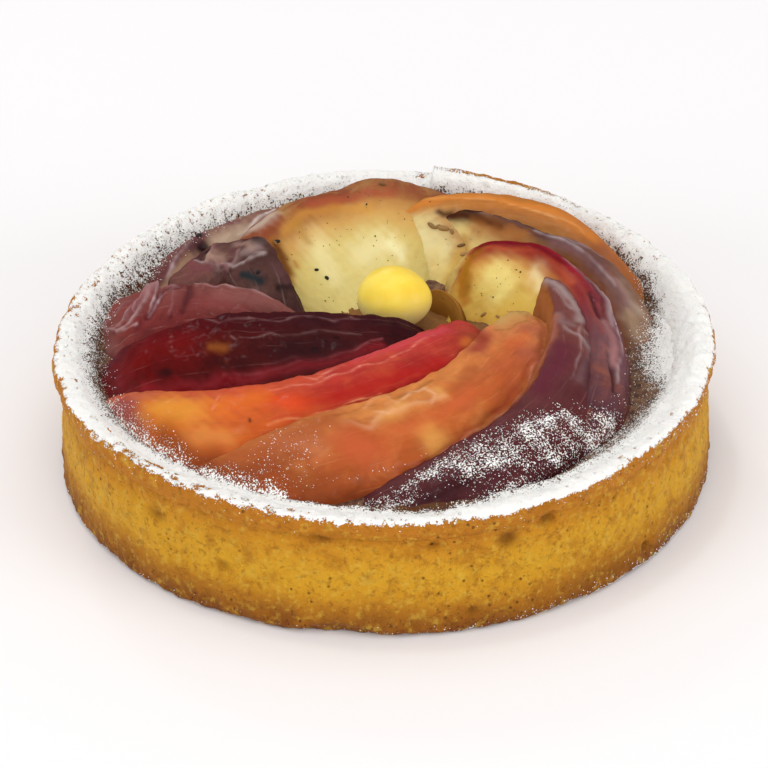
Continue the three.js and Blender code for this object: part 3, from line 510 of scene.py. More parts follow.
# How the sugar reaches further in from the rim: direction, half width in degrees, how much further
# and how much softer its edge is, in mm
SUGAR_REACH = [
    (-12, 46, 3.6, 3.4), (-2, 20, 2.0, 0.4), (135, 60, 1.2, 2.4), (-55, 35, 1, 2),
    (-122, 42, 1.25, 0.6), (-82, 14, -1, -0.7), (195, 42, 0.5, 2),
]
SUGAR_EDGE = 46.6
SUGAR_SOFTNESS = 2
SUGAR_FLOOR = 14  # none lies lower than this

# Patches: direction and half width in degrees, from inner to outer in mm, and how strong they are
BARE_PATCH = dict(at=-19, half_width=9, inner=43.5, outer=46, strength=0.6)
BARE_FLAKE = dict(at=66, half_width=24, inner=49.2, outer=50, strength=0.8)
ORANGE_DUST = dict(at=249, half_width=11, inner=33, outer=39, strength=0.17)
BROKEN_SUGAR = [dict(at=140, half_width=60, strength=1), dict(at=40, half_width=40, strength=0.7)]

# A gap in the drift, over the end of the orange wedge
DRIFT_GAP = dict(x=6.8, y=-42, half_length=4, half_width=1.8, strength=0.9, inside=45)

# Where the sugar ends higher outside the rim, or lower if less than 0: direction, half width in
# degrees, by how much in mm
SUGAR_HEM = [(-122, 42, 0.55), (-62, 20, -0.5)]

# Grains of sugar: how many places are tried on top, between which radii, how many lie on the wall,
# and the height below which these hang
GRAIN_TRIES = 56000
GRAIN_RING = (26, 52.2)
WALL_GRAINS = 900
WALL_TOP = 20.8

# Specks, browned curls and dark spots: x, y and size in mm. Clouds of small specks: x, y, spread
# and how many
SPECKS = [
    (-2.6, 34.5, 0.42), (-5.7, 36, 0.25), (-3.7, 36.8, 0.25), (-1.2, 29, 0.3), (-15, 23.6, 0.25),
    (-13.8, 28.5, 0.22), (-9.8, 26.5, 0.2), (0.8, 24.7, 0.25), (-5.9, 30.3, 0.18),
    (-9.5, 14.9, 0.3), (-8.2, 15.4, 0.28), (-8.9, 16, 0.22), (-9.2, 30.9, 0.2), (-0.3, 35.1, 0.2),
    (-7.2, 27, 0.18), (3.7, 32.2, 0.22), (8, 34.4, 0.2), (10.7, 32.6, 0.2), (20.2, 15.9, 0.35),
    (21.5, 13.9, 0.3), (22.1, 13.3, 0.35), (18.3, 14.2, 0.28), (17.7, 12.2, 0.35),
    (25.9, 5.2, 0.2), (15.8, 12.9, 0.22), (14.8, 14.1, 0.22), (13.6, 20.3, 0.28),
    (12.7, 24.1, 0.25), (23.4, 15.5, 0.2),
]
CURLS = [
    (0, 38.2, 0.9), (8.1, 30.8, 1.0), (10.1, 30.1, 1.3), (9.2, 30.4, 0.9), (13, 27, 0.8),
    (13.3, 25.5, 1.0), (18.3, 9.3, 0.7), (16.1, 10.6, 0.7), (-17.7, 25.3, 0.7), (11.5, 29.4, 0.8),
]
DARK_SPOTS = [
    (-30.6, 30.6, 1.4), (-17.4, 25.7, 1.3), (-20.1, 14.2, 0.9), (-11, 21.6, 0.9), (-9.3, 20.4, 1),
]
SPECK_CLOUDS = [(-7, 29, 5, 40), (4, 28, 4, 24), (19, 13, 3, 30), (12, 26, 2.5, 16)]

# The camera looks down at 33 degrees from half a metre away
CAMERA_PLACE = (0, -377.4, 245.1)
CAMERA_TARGET = (-0.15, 0, 11.6)
CAMERA_ROLL = math.radians(0.91)
CAMERA_LENS = 130.6  # on a 36 mm sensor

# Lamps, all turned to the middle of the tart: name, place and size in metres, power
LAMPS = [
    ("top_softbox", (-0.1, -0.05, 1.3), 2.0, 6.7),
    ("front_softbox", (0, -1.5, 0.85), 2.0, 7.0),
    ("left_fill", (-1.3, -0.7, 0.4), 0.9, 6.5),
    ("right_fill", (1.3, -0.7, 0.4), 0.9, 8),
    ("back_spark", (-0.25, 0.75, 0.6), 0.12, 0.5),
    ("top_spark", (-0.2, 0.2, 1.2), 0.13, 1.0),
]
BACKDROP_COLOUR = (1, 0.995, 0.985, 1)
BACKDROP_STRENGTH = 0.54

# Rays that look for a surface start this far above the tart and out from its axis
ABOVE = 60
BEYOND = 70
HAIR = 0.001  # the pieces keep this far inside the part's box


def deselect_all():
    bpy.ops.object.select_all(action="DESELECT")


def choose(piece):
    deselect_all()
    piece.select_set(True)
    bpy.context.view_layer.objects.active = piece


def apply_modifier(piece, kind, **settings):
    choose(piece)
    modifier = piece.modifiers.new(kind.lower(), kind)
    for name, value in settings.items():
        setattr(modifier, name, value)
    bpy.ops.object.modifier_apply(modifier=modifier.name)


def roughen(piece, name, size, depth, height, **settings):
    """Pushes the surface in and out along its normals, by height mm in all, in lumps about size
    mm across. A greater depth adds finer ones."""
    texture = bpy.data.textures.new(name, "CLOUDS")
    texture.noise_scale = size * MM
    texture.noise_depth = depth
    apply_modifier(
        piece, "DISPLACE", texture=texture, strength=height * MM, mid_level=0.5, **settings
    )


def read_each(items, field, width=1, kind=np.float32):
    """One field of all of a mesh's points, corners or values, with width numbers for each."""
    found = np.zeros(len(items) * width, kind)
    items.foreach_get(field, found)
    return found.reshape(-1, width) if width > 1 else found


def points_of(piece):
    """The piece's vertices in millimetres."""
    return read_each(piece.data.vertices, "co", 3) / MM


def normals_of(piece):
    return read_each(piece.data.vertices, "normal", 3)


def move_points(piece, points):
    piece.data.vertices.foreach_set("co", (points * MM).astype(np.float32).ravel())
    piece.data.update()


def set_attribute(piece, name, values, kind="FLOAT", field="value"):
    """A number or a colour for each vertex, which the material reads."""
    attribute = piece.data.attributes.new(name, kind, "POINT")
    attribute.data.foreach_set(field, values.astype(np.float32).ravel())


def smooth_step(low, high, value):
    share = np.clip((value - low) / (high - low), 0, 1)
    return share * share * (3 - 2 * share)


def bump_at(angle, centre, half_width):
    """1 in one direction, fading out over a half width to both sides, all in degrees."""
    away = np.abs((angle - centre + 540) % 360 - 180) / half_width
    return np.where(away < 1, np.cos(np.minimum(away, 1) * math.pi / 2) ** 2, 0)


# ---------------------------------------------------------------- wedges


def patch_at(angle, patch):
    return patch["strength"] * bump_at(angle, patch["at"], patch["half_width"])


def unit(ways):
    return ways / np.linalg.norm(ways, axis=1)[:, None]


def smooth_line(points, count):
    """Evenly spaced points on the smooth line through the given ones, its level tangents and its
    length."""
    points = np.array(points, float)
    gaps = np.linalg.norm(np.diff(points, axis=0), axis=1) ** 0.5
    knots = np.concatenate([[0], np.cumsum(gaps)])
    slopes = np.gradient(points, knots, axis=0)
    at = np.linspace(0, knots[-1], RIDGE_STEPS)
    i = np.clip(np.searchsorted(knots, at, side="right") - 1, 0, len(gaps) - 1)
    gap = gaps[i][:, None]
    t = (at - knots[i])[:, None] / gap
    line = (
        (2 * t**3 - 3 * t**2 + 1) * points[i]
        + (t**3 - 2 * t**2 + t) * gap * slopes[i]
        + (3 * t**2 - 2 * t**3) * points[i + 1]
        + (t**3 - t**2) * gap * slopes[i + 1]
    )
    run = np.concatenate([[0], np.cumsum(np.linalg.norm(np.diff(line, axis=0), axis=1))])
    even = np.linspace(0, run[-1], count)
    line = np.stack([np.interp(even, run, line[:, k]) for k in range(3)], 1)
    tangents = np.gradient(line, axis=0)
    tangents[:, 2] = 0
    return line, unit(tangents), run[-1]


def end_taper(share, inner, outer):
    """How much of a wedge's full section is left at a share of its length."""
    from_start = np.minimum(1, share / inner)
    from_end = np.minimum(1, (1 - share) / outer)
    return np.sqrt((1 - (1 - from_start) ** 2) * (1 - (1 - from_end) ** 2))


def wedge_surface(wedge, u, v):
    """Points of a wedge's surface in mm, with u from the well to the rim and v round the section:
    from the skin's foot over the ridge to the flesh's foot, and back under the wedge. Also how far
    along it they lie, as a share and in mm, and how far across it from the ridge: from -1 at the
    skin's foot to 1 at the flesh's foot, and in mm."""
    share = 0.25 * u + 0.75 * (1 - np.cos(math.pi * u)) / 2  # closer together near the ends
    line, along, length = smooth_line(wedge["ridge"], RIDGE_POINTS)
    even = np.linspace(0, 1, RIDGE_POINTS)
    at = np.stack([np.interp(share, even, line[:, k]) for k in range(3)], 1)
    way = unit(np.stack([np.interp(share, even, along[:, k]) for k in range(2)], 1))
    to_skin = np.stack([-way[:, 1], way[:, 0]], 1)
    to_nut = unit(np.array(NUT_CENTRE[:2]) - at[:, :2])
    aim = wedge.get("aim", 0)
    to_flesh = unit(-to_skin * (1 - aim) + to_nut * aim)
    taper = end_taper(share, *wedge["blunt"])
    skin, flesh = (
        (reach[0] + np.diff(reach) * share) * taper
        for reach in (wedge["skin_reach"], wedge["flesh_reach"])
    )
    flesh = flesh * smooth_step(-0.1, wedge.get("widen", 0), share)
    top = (at[:, 2] - WEDGE_BASE) * taper

    turn = np.clip(v / SKIN_SHARE, 0, 1) * math.pi / 2
    on_skin, skin_up = (np.maximum(0, part(turn)) ** SKIN_BULGE for part in (np.cos, np.sin))
    away = np.clip((v - SKIN_SHARE) / FLESH_SHARE, 0, 1)
    scooped = wedge.get("hollow", 0) * np.sin(math.pi * away)
    flesh_up = np.maximum(0, 1 - away**FLESH_ROUNDING - scooped)
    under = np.clip((v - SKIN_SHARE - FLESH_SHARE) / (1 - SKIN_SHARE - FLESH_SHARE), 0, 1)
    skin_away = np.where(v < SKIN_SHARE, on_skin, under) * skin
    flesh_away = np.where(v < SKIN_SHARE, 0, away * (1 - under)) * flesh
    up = np.where(v < SKIN_SHARE, skin_up, flesh_up) * top
    flat = at[:, :2] + to_skin * skin_away[:, None] + to_flesh * flesh_away[:, None]
    points = np.column_stack([flat, WEDGE_BASE + up])
    drop = top - up
    round_it = np.where(v < SKIN_SHARE, -np.hypot(skin_away, drop), np.hypot(flesh_away, drop))
    side = np.where(v < SKIN_SHARE, v / SKIN_SHARE - 1, away)
    return points, share, side, share * length, round_it


def round_axis(points):
    """How far points lie from the tart's axis, and in which direction, in degrees."""
    x, y = points[:, 0], points[:, 1]
    return np.hypot(x, y), np.degrees(np.arctan2(y, x))


def press_to_wall(points):
    """Keeps points inside the wall and low enough for the bank of sugar, as soft fruit gives."""
    radius, angle = round_axis(points)
    highest = END_HEIGHT + END_SLOPE * np.maximum(0, END_RADIUS - radius)
    over = np.maximum(0, points[:, 2] - highest - patch_at(angle, HIGHER_END))
    lowered = points[:, 2] - over + END_GIVE * (1 - np.exp(-over / END_GIVE))
    points[:, 2] = np.where(radius > HELD_RADIUS, lowered, points[:, 2])
    points[:, :2] *= np.minimum(1, WALL_RADIUS / np.maximum(radius, 1))[:, None]
    return points


def write_uv(piece, name, u, v):
    layer = piece.data.uv_layers.new(name=name)
    corners = read_each(piece.data.loops, "vertex_index", kind=np.int32)
    places = np.column_stack([u[corners], v[corners]])
    layer.data.foreach_set("uv", places.astype(np.float32).ravel())


def away_from(run, across, path):
    """How far points on a wedge's skin lie from a stroke, in mm, all measured along the skin."""
    path = np.reshape(path, (-1, 2))
    at = np.column_stack([run, across])
    if len(path) == 1:
        return np.hypot(*(at - path[0]).T)
    nearest = np.full(len(at), 1e9)
    for start, end in zip(path[:-1], path[1:]):
        step = end - start
        share = np.clip((at - start) @ step / (step @ step), 0, 1)
        nearest = np.minimum(nearest, np.hypot(*(at - start - share[:, None] * step).T))
    return nearest


def wander(points, size):
    """A slow unevenness from -1 to 1 over points in mm."""
    x, y, z = points.T / size
    return (
        np.sin(2.1 * x + 1.3 * np.sin(1.7 * y) + 0.7 * z)
        + np.sin(1.9 * y - 1.1 * np.sin(2.3 * x + 1) + 0.9 * z)
        + np.sin(3.7 * x + 2.9 * y + 1.5 * z + 2)
    ) / 3


def brush(piece, strokes, run, across):
    """Lays strokes of colour over a wedge, its own colours along with painted highlights, sheen
    and shade, and lifts the surface where a stroke is a fold. The strokes stray and swell a
    little, and the thin ones come and go."""
    points = points_of(piece)
    lifted = np.zeros(len(points))
    tint_and_painted_light = np.zeros((len(points), 4))
    uneven = wander(points, 1.1)
    slow = wander(points, 4)
    strayed = run + STRAY * slow, across + STRAY * np.roll(slow, 7)
    for code, width, strength, lift, *path in strokes:
        away = away_from(*strayed, path)
        share = np.exp(-((away / (width * (1 + 0.25 * uneven))) ** 2)) * strength
        if width < THIN_STROKE:
            share *= np.clip(0.65 + 0.6 * slow + 0.3 * uneven, 0.1, 1)
        opacity = share + tint_and_painted_light[:, 3] * (1 - share)
        part = (share / np.maximum(opacity, 1e-6))[:, None]
        tint_and_painted_light[:, :3] += (np.array(colour(code)[:3]) - tint_and_painted_light[:, :3]) * part
        tint_and_painted_light[:, 3] = opacity
        lifted += lift * np.exp(-((away / max(width, NARROWEST_FOLD)) ** 2))
    move_points(piece, points + normals_of(piece) * lifted[:, None])
    set_attribute(piece, "tint_and_painted_light", tint_and_painted_light, "FLOAT_COLOR", "color")


def wedge_piece(wedge):
    """A wedge bent out of a flat grid, with lumps and lengthwise wrinkles."""
    name, node = wedge["name"], wedge["node"]
    steps = FLAP_STEPS if node == "core_flap" else WEDGE_STEPS
    piece, u, v = grid_piece(name, *steps)
    points, share, side, run, round_it = wedge_surface(wedge, u, v)
    write_uv(piece, "place", share, side)
    write_uv(piece, "grain", run * 0.01, round_it * 0.01)
    set_attribute(piece, "run", run)
    set_attribute(piece, "across", round_it)
    move_points(piece, points)
    close_seams(piece)
    roughen(piece, name + "_lumps", 6, 2, wedge["swell"])
    roughen(piece, name + "_bumps", 2.6, 2, wedge["swell"] * 0.6)
    along = dict(texture_coords="UV", uv_layer="grain")
    roughen(piece, name + "_wrinkles", 45, 2, wedge["furrow"], **along)
    fields = piece.data.attributes
    run, across = (read_each(fields[field].data, "value") for field in ("run", "across"))
    brush(piece, STROKES.get(name, []), run, across)
    move_points(piece, press_to_wall(points_of(piece)))
    dust(piece)
    return finished(piece, peach_material(wedge), node)


def finished(piece, material, node):
    """The piece, smooth and in its material, stands for a node of the part."""
    bpy.ops.object.shade_smooth()
    piece.data.materials.append(material)
    return dressed(piece, node)


def dressed(piece, node):
    """The piece stands for a node of the part and rides with the part's one body."""
    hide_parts(node)
    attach(piece, "root")
    return piece


# ---------------------------------------------------------------- sugar


def sugar_from_rim(points, radius, angle):
    """The sugar that runs in from the rim: bare in one patch, and broken up at the back."""
    inner, wide = SUGAR_EDGE, SUGAR_SOFTNESS
    for at, half_width, further, softer in SUGAR_REACH:
        here = bump_at(angle, at, half_width)
        inner = inner - further * here
        wide = wide + softer * here
    cover = smooth_step(-1, 1, (radius - inner) / wide)
    inwards = smooth_step(BARE_PATCH["outer"], BARE_PATCH["inner"], radius)
    cover = cover * (1 - inwards * patch_at(angle, BARE_PATCH))
    clumps = smooth_step(0.1, 0.8, wander(points, 0.6) + 0.4 * wander(points, 0.31))
    broken = np.maximum(*(patch_at(angle, patch) for patch in BROKEN_SUGAR))
    return cover * (1 - 0.5 * clumps * broken)


def sugar_in_drift(points):
    """The thin drift of sugar over the fruit at the front right."""
    x, y, _ = points.T
    cover = 0
    thin = 0.42 + 0.16 * wander(points, 3.1)
    ragged = 0.2 * wander(points, 1.2)
    for (x0, y0, wide0), (x1, y1, wide1) in zip(SUGAR_DRIFT[:-1], SUGAR_DRIFT[1:]):
        step = np.array([x1 - x0, y1 - y0])
        share = np.clip(((x - x0) * step[0] + (y - y0) * step[1]) / (step @ step), 0, 1)
        away = np.hypot(x - x0 - share * step[0], y - y0 - share * step[1])
        wide = wide0 + (wide1 - wide0) * share
        cover = np.maximum(cover, thin * smooth_step(1.4, 0.5, away / wide + ragged))
    return cover


def sugar_over_rim(points, radius, angle):
    """1 on the rim and inside it, and less where the sugar ends on the rim's outer edge."""
    _, y, z = points.T
    below_rim = RIM_HEIGHT + RIM_TILT * y - z
    for at, half_width, higher in SUGAR_HEM:
        below_rim = below_rim + higher * bump_at(angle, at, half_width)
    ragged = below_rim + 0.3 * wander(points, 0.9) + 0.25 * wander(points, 0.4)
    outwards = smooth_step(BARE_FLAKE["inner"], BARE_FLAKE["outer"], radius)
    hem = smooth_step(1, 0.2, ragged) * (1 - outwards * patch_at(angle, BARE_FLAKE))
    return np.where(radius > OUTER_WALL, hem, 1)


def sugar_cover(points, normals):
    """How much of the surface the icing sugar covers, from 0 to 1."""
    x, y, z = points.T
    radius, angle = round_axis(points)
    angle = angle % 360
    ragged = radius + 0.4 * wander(points, 1.7) + 0.3 * wander(points, 0.7)
    cover = np.maximum(sugar_from_rim(points, ragged, angle), sugar_in_drift(points))
    gap_x = (x - DRIFT_GAP["x"]) / DRIFT_GAP["half_length"]
    gap_y = (y - DRIFT_GAP["y"]) / DRIFT_GAP["half_width"]
    gap = DRIFT_GAP["strength"] * np.exp(-(np.hypot(gap_x, gap_y) ** 2))
    cover *= 1 - gap * (radius < DRIFT_GAP["inside"])
    outwards = smooth_step(ORANGE_DUST["inner"], ORANGE_DUST["outer"], ragged)
    cover = np.maximum(cover, outwards * patch_at(angle, ORANGE_DUST))
    cover = np.clip(cover, 0, 1)
    lying = smooth_step(0.02, 0.45, normals[:, 2])
    return cover * lying * sugar_over_rim(points, radius, angle) * (z > SUGAR_FLOOR)


def dust(piece):
    """Dusts the piece with sugar where its material reads it, and gives the cover."""
    cover = sugar_cover(points_of(piece), normals_of(piece))
    set_attribute(piece, "sugar", cover)
    return cover


# ---------------------------------------------------------------- materials


def colour(code):
    """A linear colour with full opacity from a hex code."""
    parts = [int(code[i : i + 2], 16) / 255 for i in (1, 3, 5)]
    return (*(p / 12.92 if p < 0.04045 else ((p + 0.055) / 1.055) ** 2.4 for p in parts), 1)


class Finish:
    """A material being mixed: each method adds a node and gives its output."""

    def __init__(self, name):
        self.material = bpy.data.materials.new(name)
        self.material.use_nodes = True
        self.tree = self.material.node_tree
        self.shader = self.tree.nodes["Principled BSDF"]

    def add(self, kind, inputs, output=0, **settings):
        made = self.tree.nodes.new("ShaderNode" + kind)
        for name, value in settings.items():
            setattr(made, name, value)
        for name, value in inputs.items():
            if isinstance(value, bpy.types.NodeSocket):
                self.tree.links.new(value, made.inputs[name])
            else:
                made.inputs[name].default_value = value
        return made.outputs[output]

    def spot(self):
        return self.add("TexCoord", {}, "Object")

    def uv(self, name):
        return self.add("UVMap", {}, uv_map=name)

    def attribute(self, name):
        return self.add("Attribute", {}, "Fac", attribute_name=name)

    def paint(self, name):
        """An attribute's colour, and how strongly it was laid on."""
        made = self.tree.nodes.new("ShaderNodeAttribute")
        made.attribute_name = name
        return made.outputs["Color"], made.outputs["Alpha"]

    def parts(self, vector):
        made = self.tree.nodes.new("ShaderNodeSeparateXYZ")
        self.tree.links.new(vector, made.inputs[0])
        return made.outputs

    def from_axis(self, vector):
        """How far a place lies from the tart's axis."""
        x, y, _ = self.parts(vector)
        return self.math("SQRT", self.math("MULTIPLY_ADD", x, x, self.times(y, y)))

    def stretched(self, vector, scale):
        return self.add("Mapping", {"Vector": vector, "Scale": scale})

    def noise(self, vector, size, detail=3, roughness=0.55, distortion=0):
        """Soft noise whose blotches are about size mm across."""
        inputs = {"Vector": vector, "Scale": 1 / (size * MM), "Detail": detail}
        inputs |= {"Roughness": roughness, "Distortion": distortion}
        return self.add("TexNoise", inputs)

    def cells(self, vector, size):
        """The distance to the nearest of points about size mm apart."""
        return self.add("TexVoronoi", {"Vector": vector, "Scale": 1 / (size * MM)}, "Distance")

    def math(self, operation, a, b=0.0, c=0.0):
        return self.add("Math", {0: a, 1: b, 2: c}, operation=operation)

    def times(self, a, b):
        return self.math("MULTIPLY", a, b)

    def levels(self, value, low, high, to_low=0.0, to_high=1.0):
        """Stretches low..high to to_low..to_high, softly and with what lies outside held."""
        inputs = {"Value": value, "From Min": low, "From Max": high}
        inputs |= {"To Min": to_low, "To Max": to_high}
        return self.add("MapRange", inputs, interpolation_type="SMOOTHSTEP")

    def ramp(self, value, codes, low=0.0, high=1.0):
        """The colours spread evenly over low..high."""
        made = self.tree.nodes.new("ShaderNodeValToRGB")
        stops = made.color_ramp.elements
        places = [low + (high - low) * i / max(1, len(codes) - 1) for i in range(len(codes))]
        stops[0].position, stops[0].color = places[0], colour(codes[0])
        stops[1].position, stops[1].color = places[-1], colour(codes[-1])
        for place, code in list(zip(places, codes))[1:-1]:
            stops.new(place).color = colour(code)
        self.tree.links.new(value, made.inputs[0])
        return made.outputs[0]

    def mix(self, share, a, b):
        a, b = (colour(x) if isinstance(x, str) else x for x in (a, b))
        return self.add("Mix", {0: share, 6: a, 7: b}, 2, data_type="RGBA")

    def bump(self, height, distance, normal=None):
        inputs = {"Height": height, "Distance": distance * MM, "Strength": 1.0}
        if normal is not None:
            inputs["Normal"] = normal
        return self.add("Bump", inputs)

    def set(self, **inputs):
        for name, value in inputs.items():
            socket = self.shader.inputs[name.replace("_", " ").title().replace("Ior", "IOR")]
            if isinstance(value, bpy.types.NodeSocket):
                self.tree.links.new(value, socket)
            else:
                socket.default_value = value


def powder(finish, colours, spot):
    """Icing sugar over the colours: solid where the cover is full, speckled where it is thin."""
    cover = finish.attribute("sugar")
    grains = finish.noise(spot, 0.27, 2, 0.6)
    drifts = finish.noise(spot, 1.5, 3, 0.65)
    amount = finish.math("MULTIPLY_ADD", drifts, 0.5, finish.math("SUBTRACT", cover, 0.25))
    lies = finish.levels(finish.math("MULTIPLY_ADD", amount, 0.5, grains), 0.73, 0.79)
    lies = finish.times(lies, finish.levels(cover, 0.0, 0.03))
    return finish.mix(lies, colours, "#fbf9f5"), lies


def glaze_highlight_lines(finish, vector, spacing, sway, width):
    """Thin wavy lines along the wedge, as in a skin of set glaze, painted pale as its highlights.
    """
    _, v, _ = finish.parts(vector)
    bend = finish.noise(finish.stretched(vector, (0.35, 1, 1)), 80, 1.5, 0.5)
    phase = finish.math("MULTIPLY_ADD", v, 100 / spacing, finish.times(bend, sway))
    away = finish.math("ABSOLUTE", finish.math("SUBTRACT", finish.math("FRACT", phase), 0.5))
    return finish.levels(away, width, 0.0)


def peach_material(wedge):
    """Baked peach under a thin glaze: skin from foot to ridge, cut flesh beyond it."""
    finish = Finish(wedge["name"])
    spot = finish.spot()
    grain = finish.uv("grain")
    along, side, _ = finish.parts(finish.uv("place"))
    blotches = finish.noise(spot, 9, 4)
    uneven = finish.math("MULTIPLY_ADD", blotches, 0.36, -0.18)
    long_grain = finish.stretched(grain, (1, 3, 1))
    streaks = finish.noise(long_grain, 40, 5, 0.65)
    pores = finish.noise(spot, 1.1, 3, 0.6)

    skin = finish.ramp(finish.math("ADD", along, uneven), wedge["skin"])
    across = finish.math("ADD", side, uneven)
    code, reach, strength = wedge["foot"]
    skin = finish.mix(finish.levels(across, -1 + reach * 1.4, -1, 0, strength), skin, code)
    code, reach, strength = wedge["crest"]
    band = finish.levels(finish.math("ABSOLUTE", across), reach, 0.0, 0, strength)
    if "crest_end" in wedge:
        end = wedge["crest_end"]
        band = finish.times(band, finish.levels(along, end, end - 0.15))
    skin = finish.mix(band, skin, code)

    flesh = finish.ramp(finish.math("MULTIPLY_ADD", uneven, 0.7, side), wedge["flesh"], 0.02, 0.9)
    if "near_flesh" in wedge:
        code, start, end = wedge["near_flesh"]
        flesh = finish.mix(finish.levels(along, start, end), flesh, code)
    if "rim_flesh" in wedge:
        code, start, end = wedge["rim_flesh"]
        near_rim = finish.math("MULTIPLY_ADD", uneven, 0.4, along)
        flesh = finish.mix(finish.levels(near_rim, start, end), flesh, code)
    edge = finish.math("MULTIPLY_ADD", uneven, 0.25, side)
    paint = finish.mix(finish.levels(edge, 0.01, wedge.get("fade", 0.12)), skin, flesh)

    code, size, strength = wedge["mottle"]
    spots = finish.levels(finish.noise(spot, size, 5, 0.6, 0.6), 0.45, 0.75, 0, strength)
    on_skin = finish.levels(side, 0.15, -0.05, wedge.get("striped", 0.25), 1)
    paint = finish.mix(finish.times(spots, on_skin), paint, code)
    shade = finish.times(finish.levels(streaks, 0.3, 0.72, 0.0, 0.35), on_skin)
    paint = finish.mix(shade, paint, finish.mix(0.55, paint, "#200810"))

    # Pale lines of set glaze on the skin, painted as highlights
    code, spacing, strength = wedge["lines"]
    lines = glaze_highlight_lines(finish, grain, spacing, 1.8, 0.05)
    shown = finish.levels(finish.noise(spot, 4, 3), 0.42, 0.62)
    lines = finish.times(lines, finish.times(shown, on_skin))
    paint = finish.mix(finish.times(lines, 0.5 * strength), paint, code)

    # The strokes' colours, painted highlights, sheen and shade among them
    tint_and_painted_light, strength = finish.paint("tint_and_painted_light")
    paint = finish.mix(strength, paint, tint_and_painted_light)
    dusted, lies = powder(finish, paint, spot)
    height = finish.math("MULTIPLY_ADD", streaks, 0.25, finish.times(pores, 0.2))
    height = finish.math("ADD", height, finish.times(lies, 0.5))
    normal = finish.bump(height, 0.3)
    finish.set(
        base_color=dusted,
        roughness=finish.levels(lies, 0, 1, 0.42, 0.95),
        specular_ior_level=0.0,
        subsurface_weight=0.18,
        subsurface_radius=(1.0, 0.35, 0.2),
        subsurface_scale=1.4 * MM,
        normal=normal,
        coat_weight=0.09,
        coat_roughness=0.07,
        coat_normal=normal,
    )
    return finish.material


def crust_material():
    """Golden shortcrust: mottled, pitted, browner at its foot and dark inside the sugared rim,
    with painted highlights over it and painted shade in its pits and hollows.
    """
    finish = Finish("shortcrust")
    spot = finish.spot()
    _, _, z = finish.parts(spot)
    broad = finish.noise(spot, 9, 4)
    mid = finish.noise(spot, 3.2, 5, 0.65)
    crumb = finish.noise(spot, 1.1, 5, 0.7)
    level = finish.math("MULTIPLY_ADD", broad, 5 * MM, finish.math("SUBTRACT", z, 2.5 * MM))
    wall = finish.ramp(
        finish.levels(level, -1 * MM, 23 * MM),
        ["#84420e", "#cc861c", "#eeac24", "#f4b62a", "#f2b028", "#eaa222", "#dc8c20", "#d48420"],
    )
    wall = finish.mix(finish.levels(mid, 0.46, 0.66, 0, 0.6), wall, "#c67c14")
    wall = finish.mix(finish.levels(crumb, 0.5, 0.68, 0, 0.6), wall, "#a4600c")
    # Painted highlights: pale gold flecks over the crust in place of its glints
    lights = finish.levels(finish.noise(spot, 1.3, 3, 0.55), 0.5, 0.72, 0, 0.45)
    wall = finish.mix(lights, wall, "#f8d050")
    # Painted shade in the wall's hollows
    wall = finish.mix(finish.times(finish.attribute("hollow"), 0.8), wall, "#8a4e04")
    # Pits, sunk by the bump and darkened with painted shade
    pits = finish.cells(spot, 1.5)
    pits = finish.times(finish.levels(pits, 0.2, 0.08), finish.levels(broad, 0.5, 0.6))
    wall = finish.mix(finish.times(pits, 0.7), wall, "#6e3c08")
    flecks = finish.levels(finish.noise(spot, 0.6, 3, 0.7), 0.6, 0.66, 0, 0.85)
    foot = finish.levels(level, 5.5 * MM, 1.5 * MM)
    wall = finish.mix(finish.times(flecks, foot), wall, "#42200a")
    inner_side = finish.levels(finish.from_axis(spot), 48.8 * MM, 47.6 * MM, 0, 0.85)
    wall = finish.mix(inner_side, wall, "#4c2420")
    dusted, lies = powder(finish, wall, spot)
    height = finish.math("MULTIPLY_ADD", finish.noise(spot, 0.5, 4, 0.7), 0.5, crumb)
    height = finish.math("MULTIPLY_ADD", mid, 1.2, height)
    height = finish.math("SUBTRACT", height, finish.times(pits, 0.8))
    height = finish.times(height, finish.levels(lies, 0, 1, 1, 0.3))
    finish.set(
        base_color=dusted,
        roughness=finish.levels(lies, 0, 1, 0.6, 0.95),
        specular_ior_level=0.2,
        subsurface_weight=0.08,
        subsurface_radius=(1.0, 0.6, 0.3),
        subsurface_scale=1.2 * MM,
        normal=finish.bump(height, 1.5),
        coat_weight=0.0,
    )
    return finish.material


def filling_material():
    """Almond filling: coarse brown crumb, warmer towards the nut."""
    finish = Finish("almond_filling")
    spot = finish.spot()
    crumb = finish.noise(spot, 1.4, 5, 0.7)
    baked = finish.ramp(finish.levels(crumb, 0.3, 0.7), ["#3c2014", "#6c4630", "#8c6a48"])
    baked = finish.mix(finish.levels(finish.from_axis(spot), 22 * MM, 15 * MM), baked, "#8a5c24")
    dusted, lies = powder(finish, baked, spot)
    finish.set(
        base_color=dusted,
        roughness=0.8,
        normal=finish.bump(finish.math("MULTIPLY_ADD", lies, 0.5, crumb), 0.5),
    )
    return finish.material


def nut_material():
    """A blanched nut: creamy yellow, paler low down as painted light against the shade there, with
    a faint shine.
    """
    finish = Finish("blanched_nut")
    spot = finish.spot()
    tone = finish.noise(spot, 5, 3)
    _, _, z = finish.parts(spot)
    skin = finish.ramp(finish.levels(tone, 0.3, 0.7), ["#efcb40", "#f2d24a", "#f4d85c"])
    finish.set(
        # Painted light: paler towards the nut's foot, to lift the shade under it
        base_color=finish.mix(finish.levels(z, 24.5 * MM, 20 * MM), skin, "#fff0a0"),
        roughness=0.38,
        subsurface_weight=0.5,
        subsurface_radius=(1.0, 0.8, 0.35),
        subsurface_scale=3.5 * MM,
        normal=finish.bump(finish.noise(spot, 1.2, 3), 0.08),
        specular_ior_level=0.2,
        coat_weight=0.1,
        coat_roughness=0.2,
    )
    return finish.material


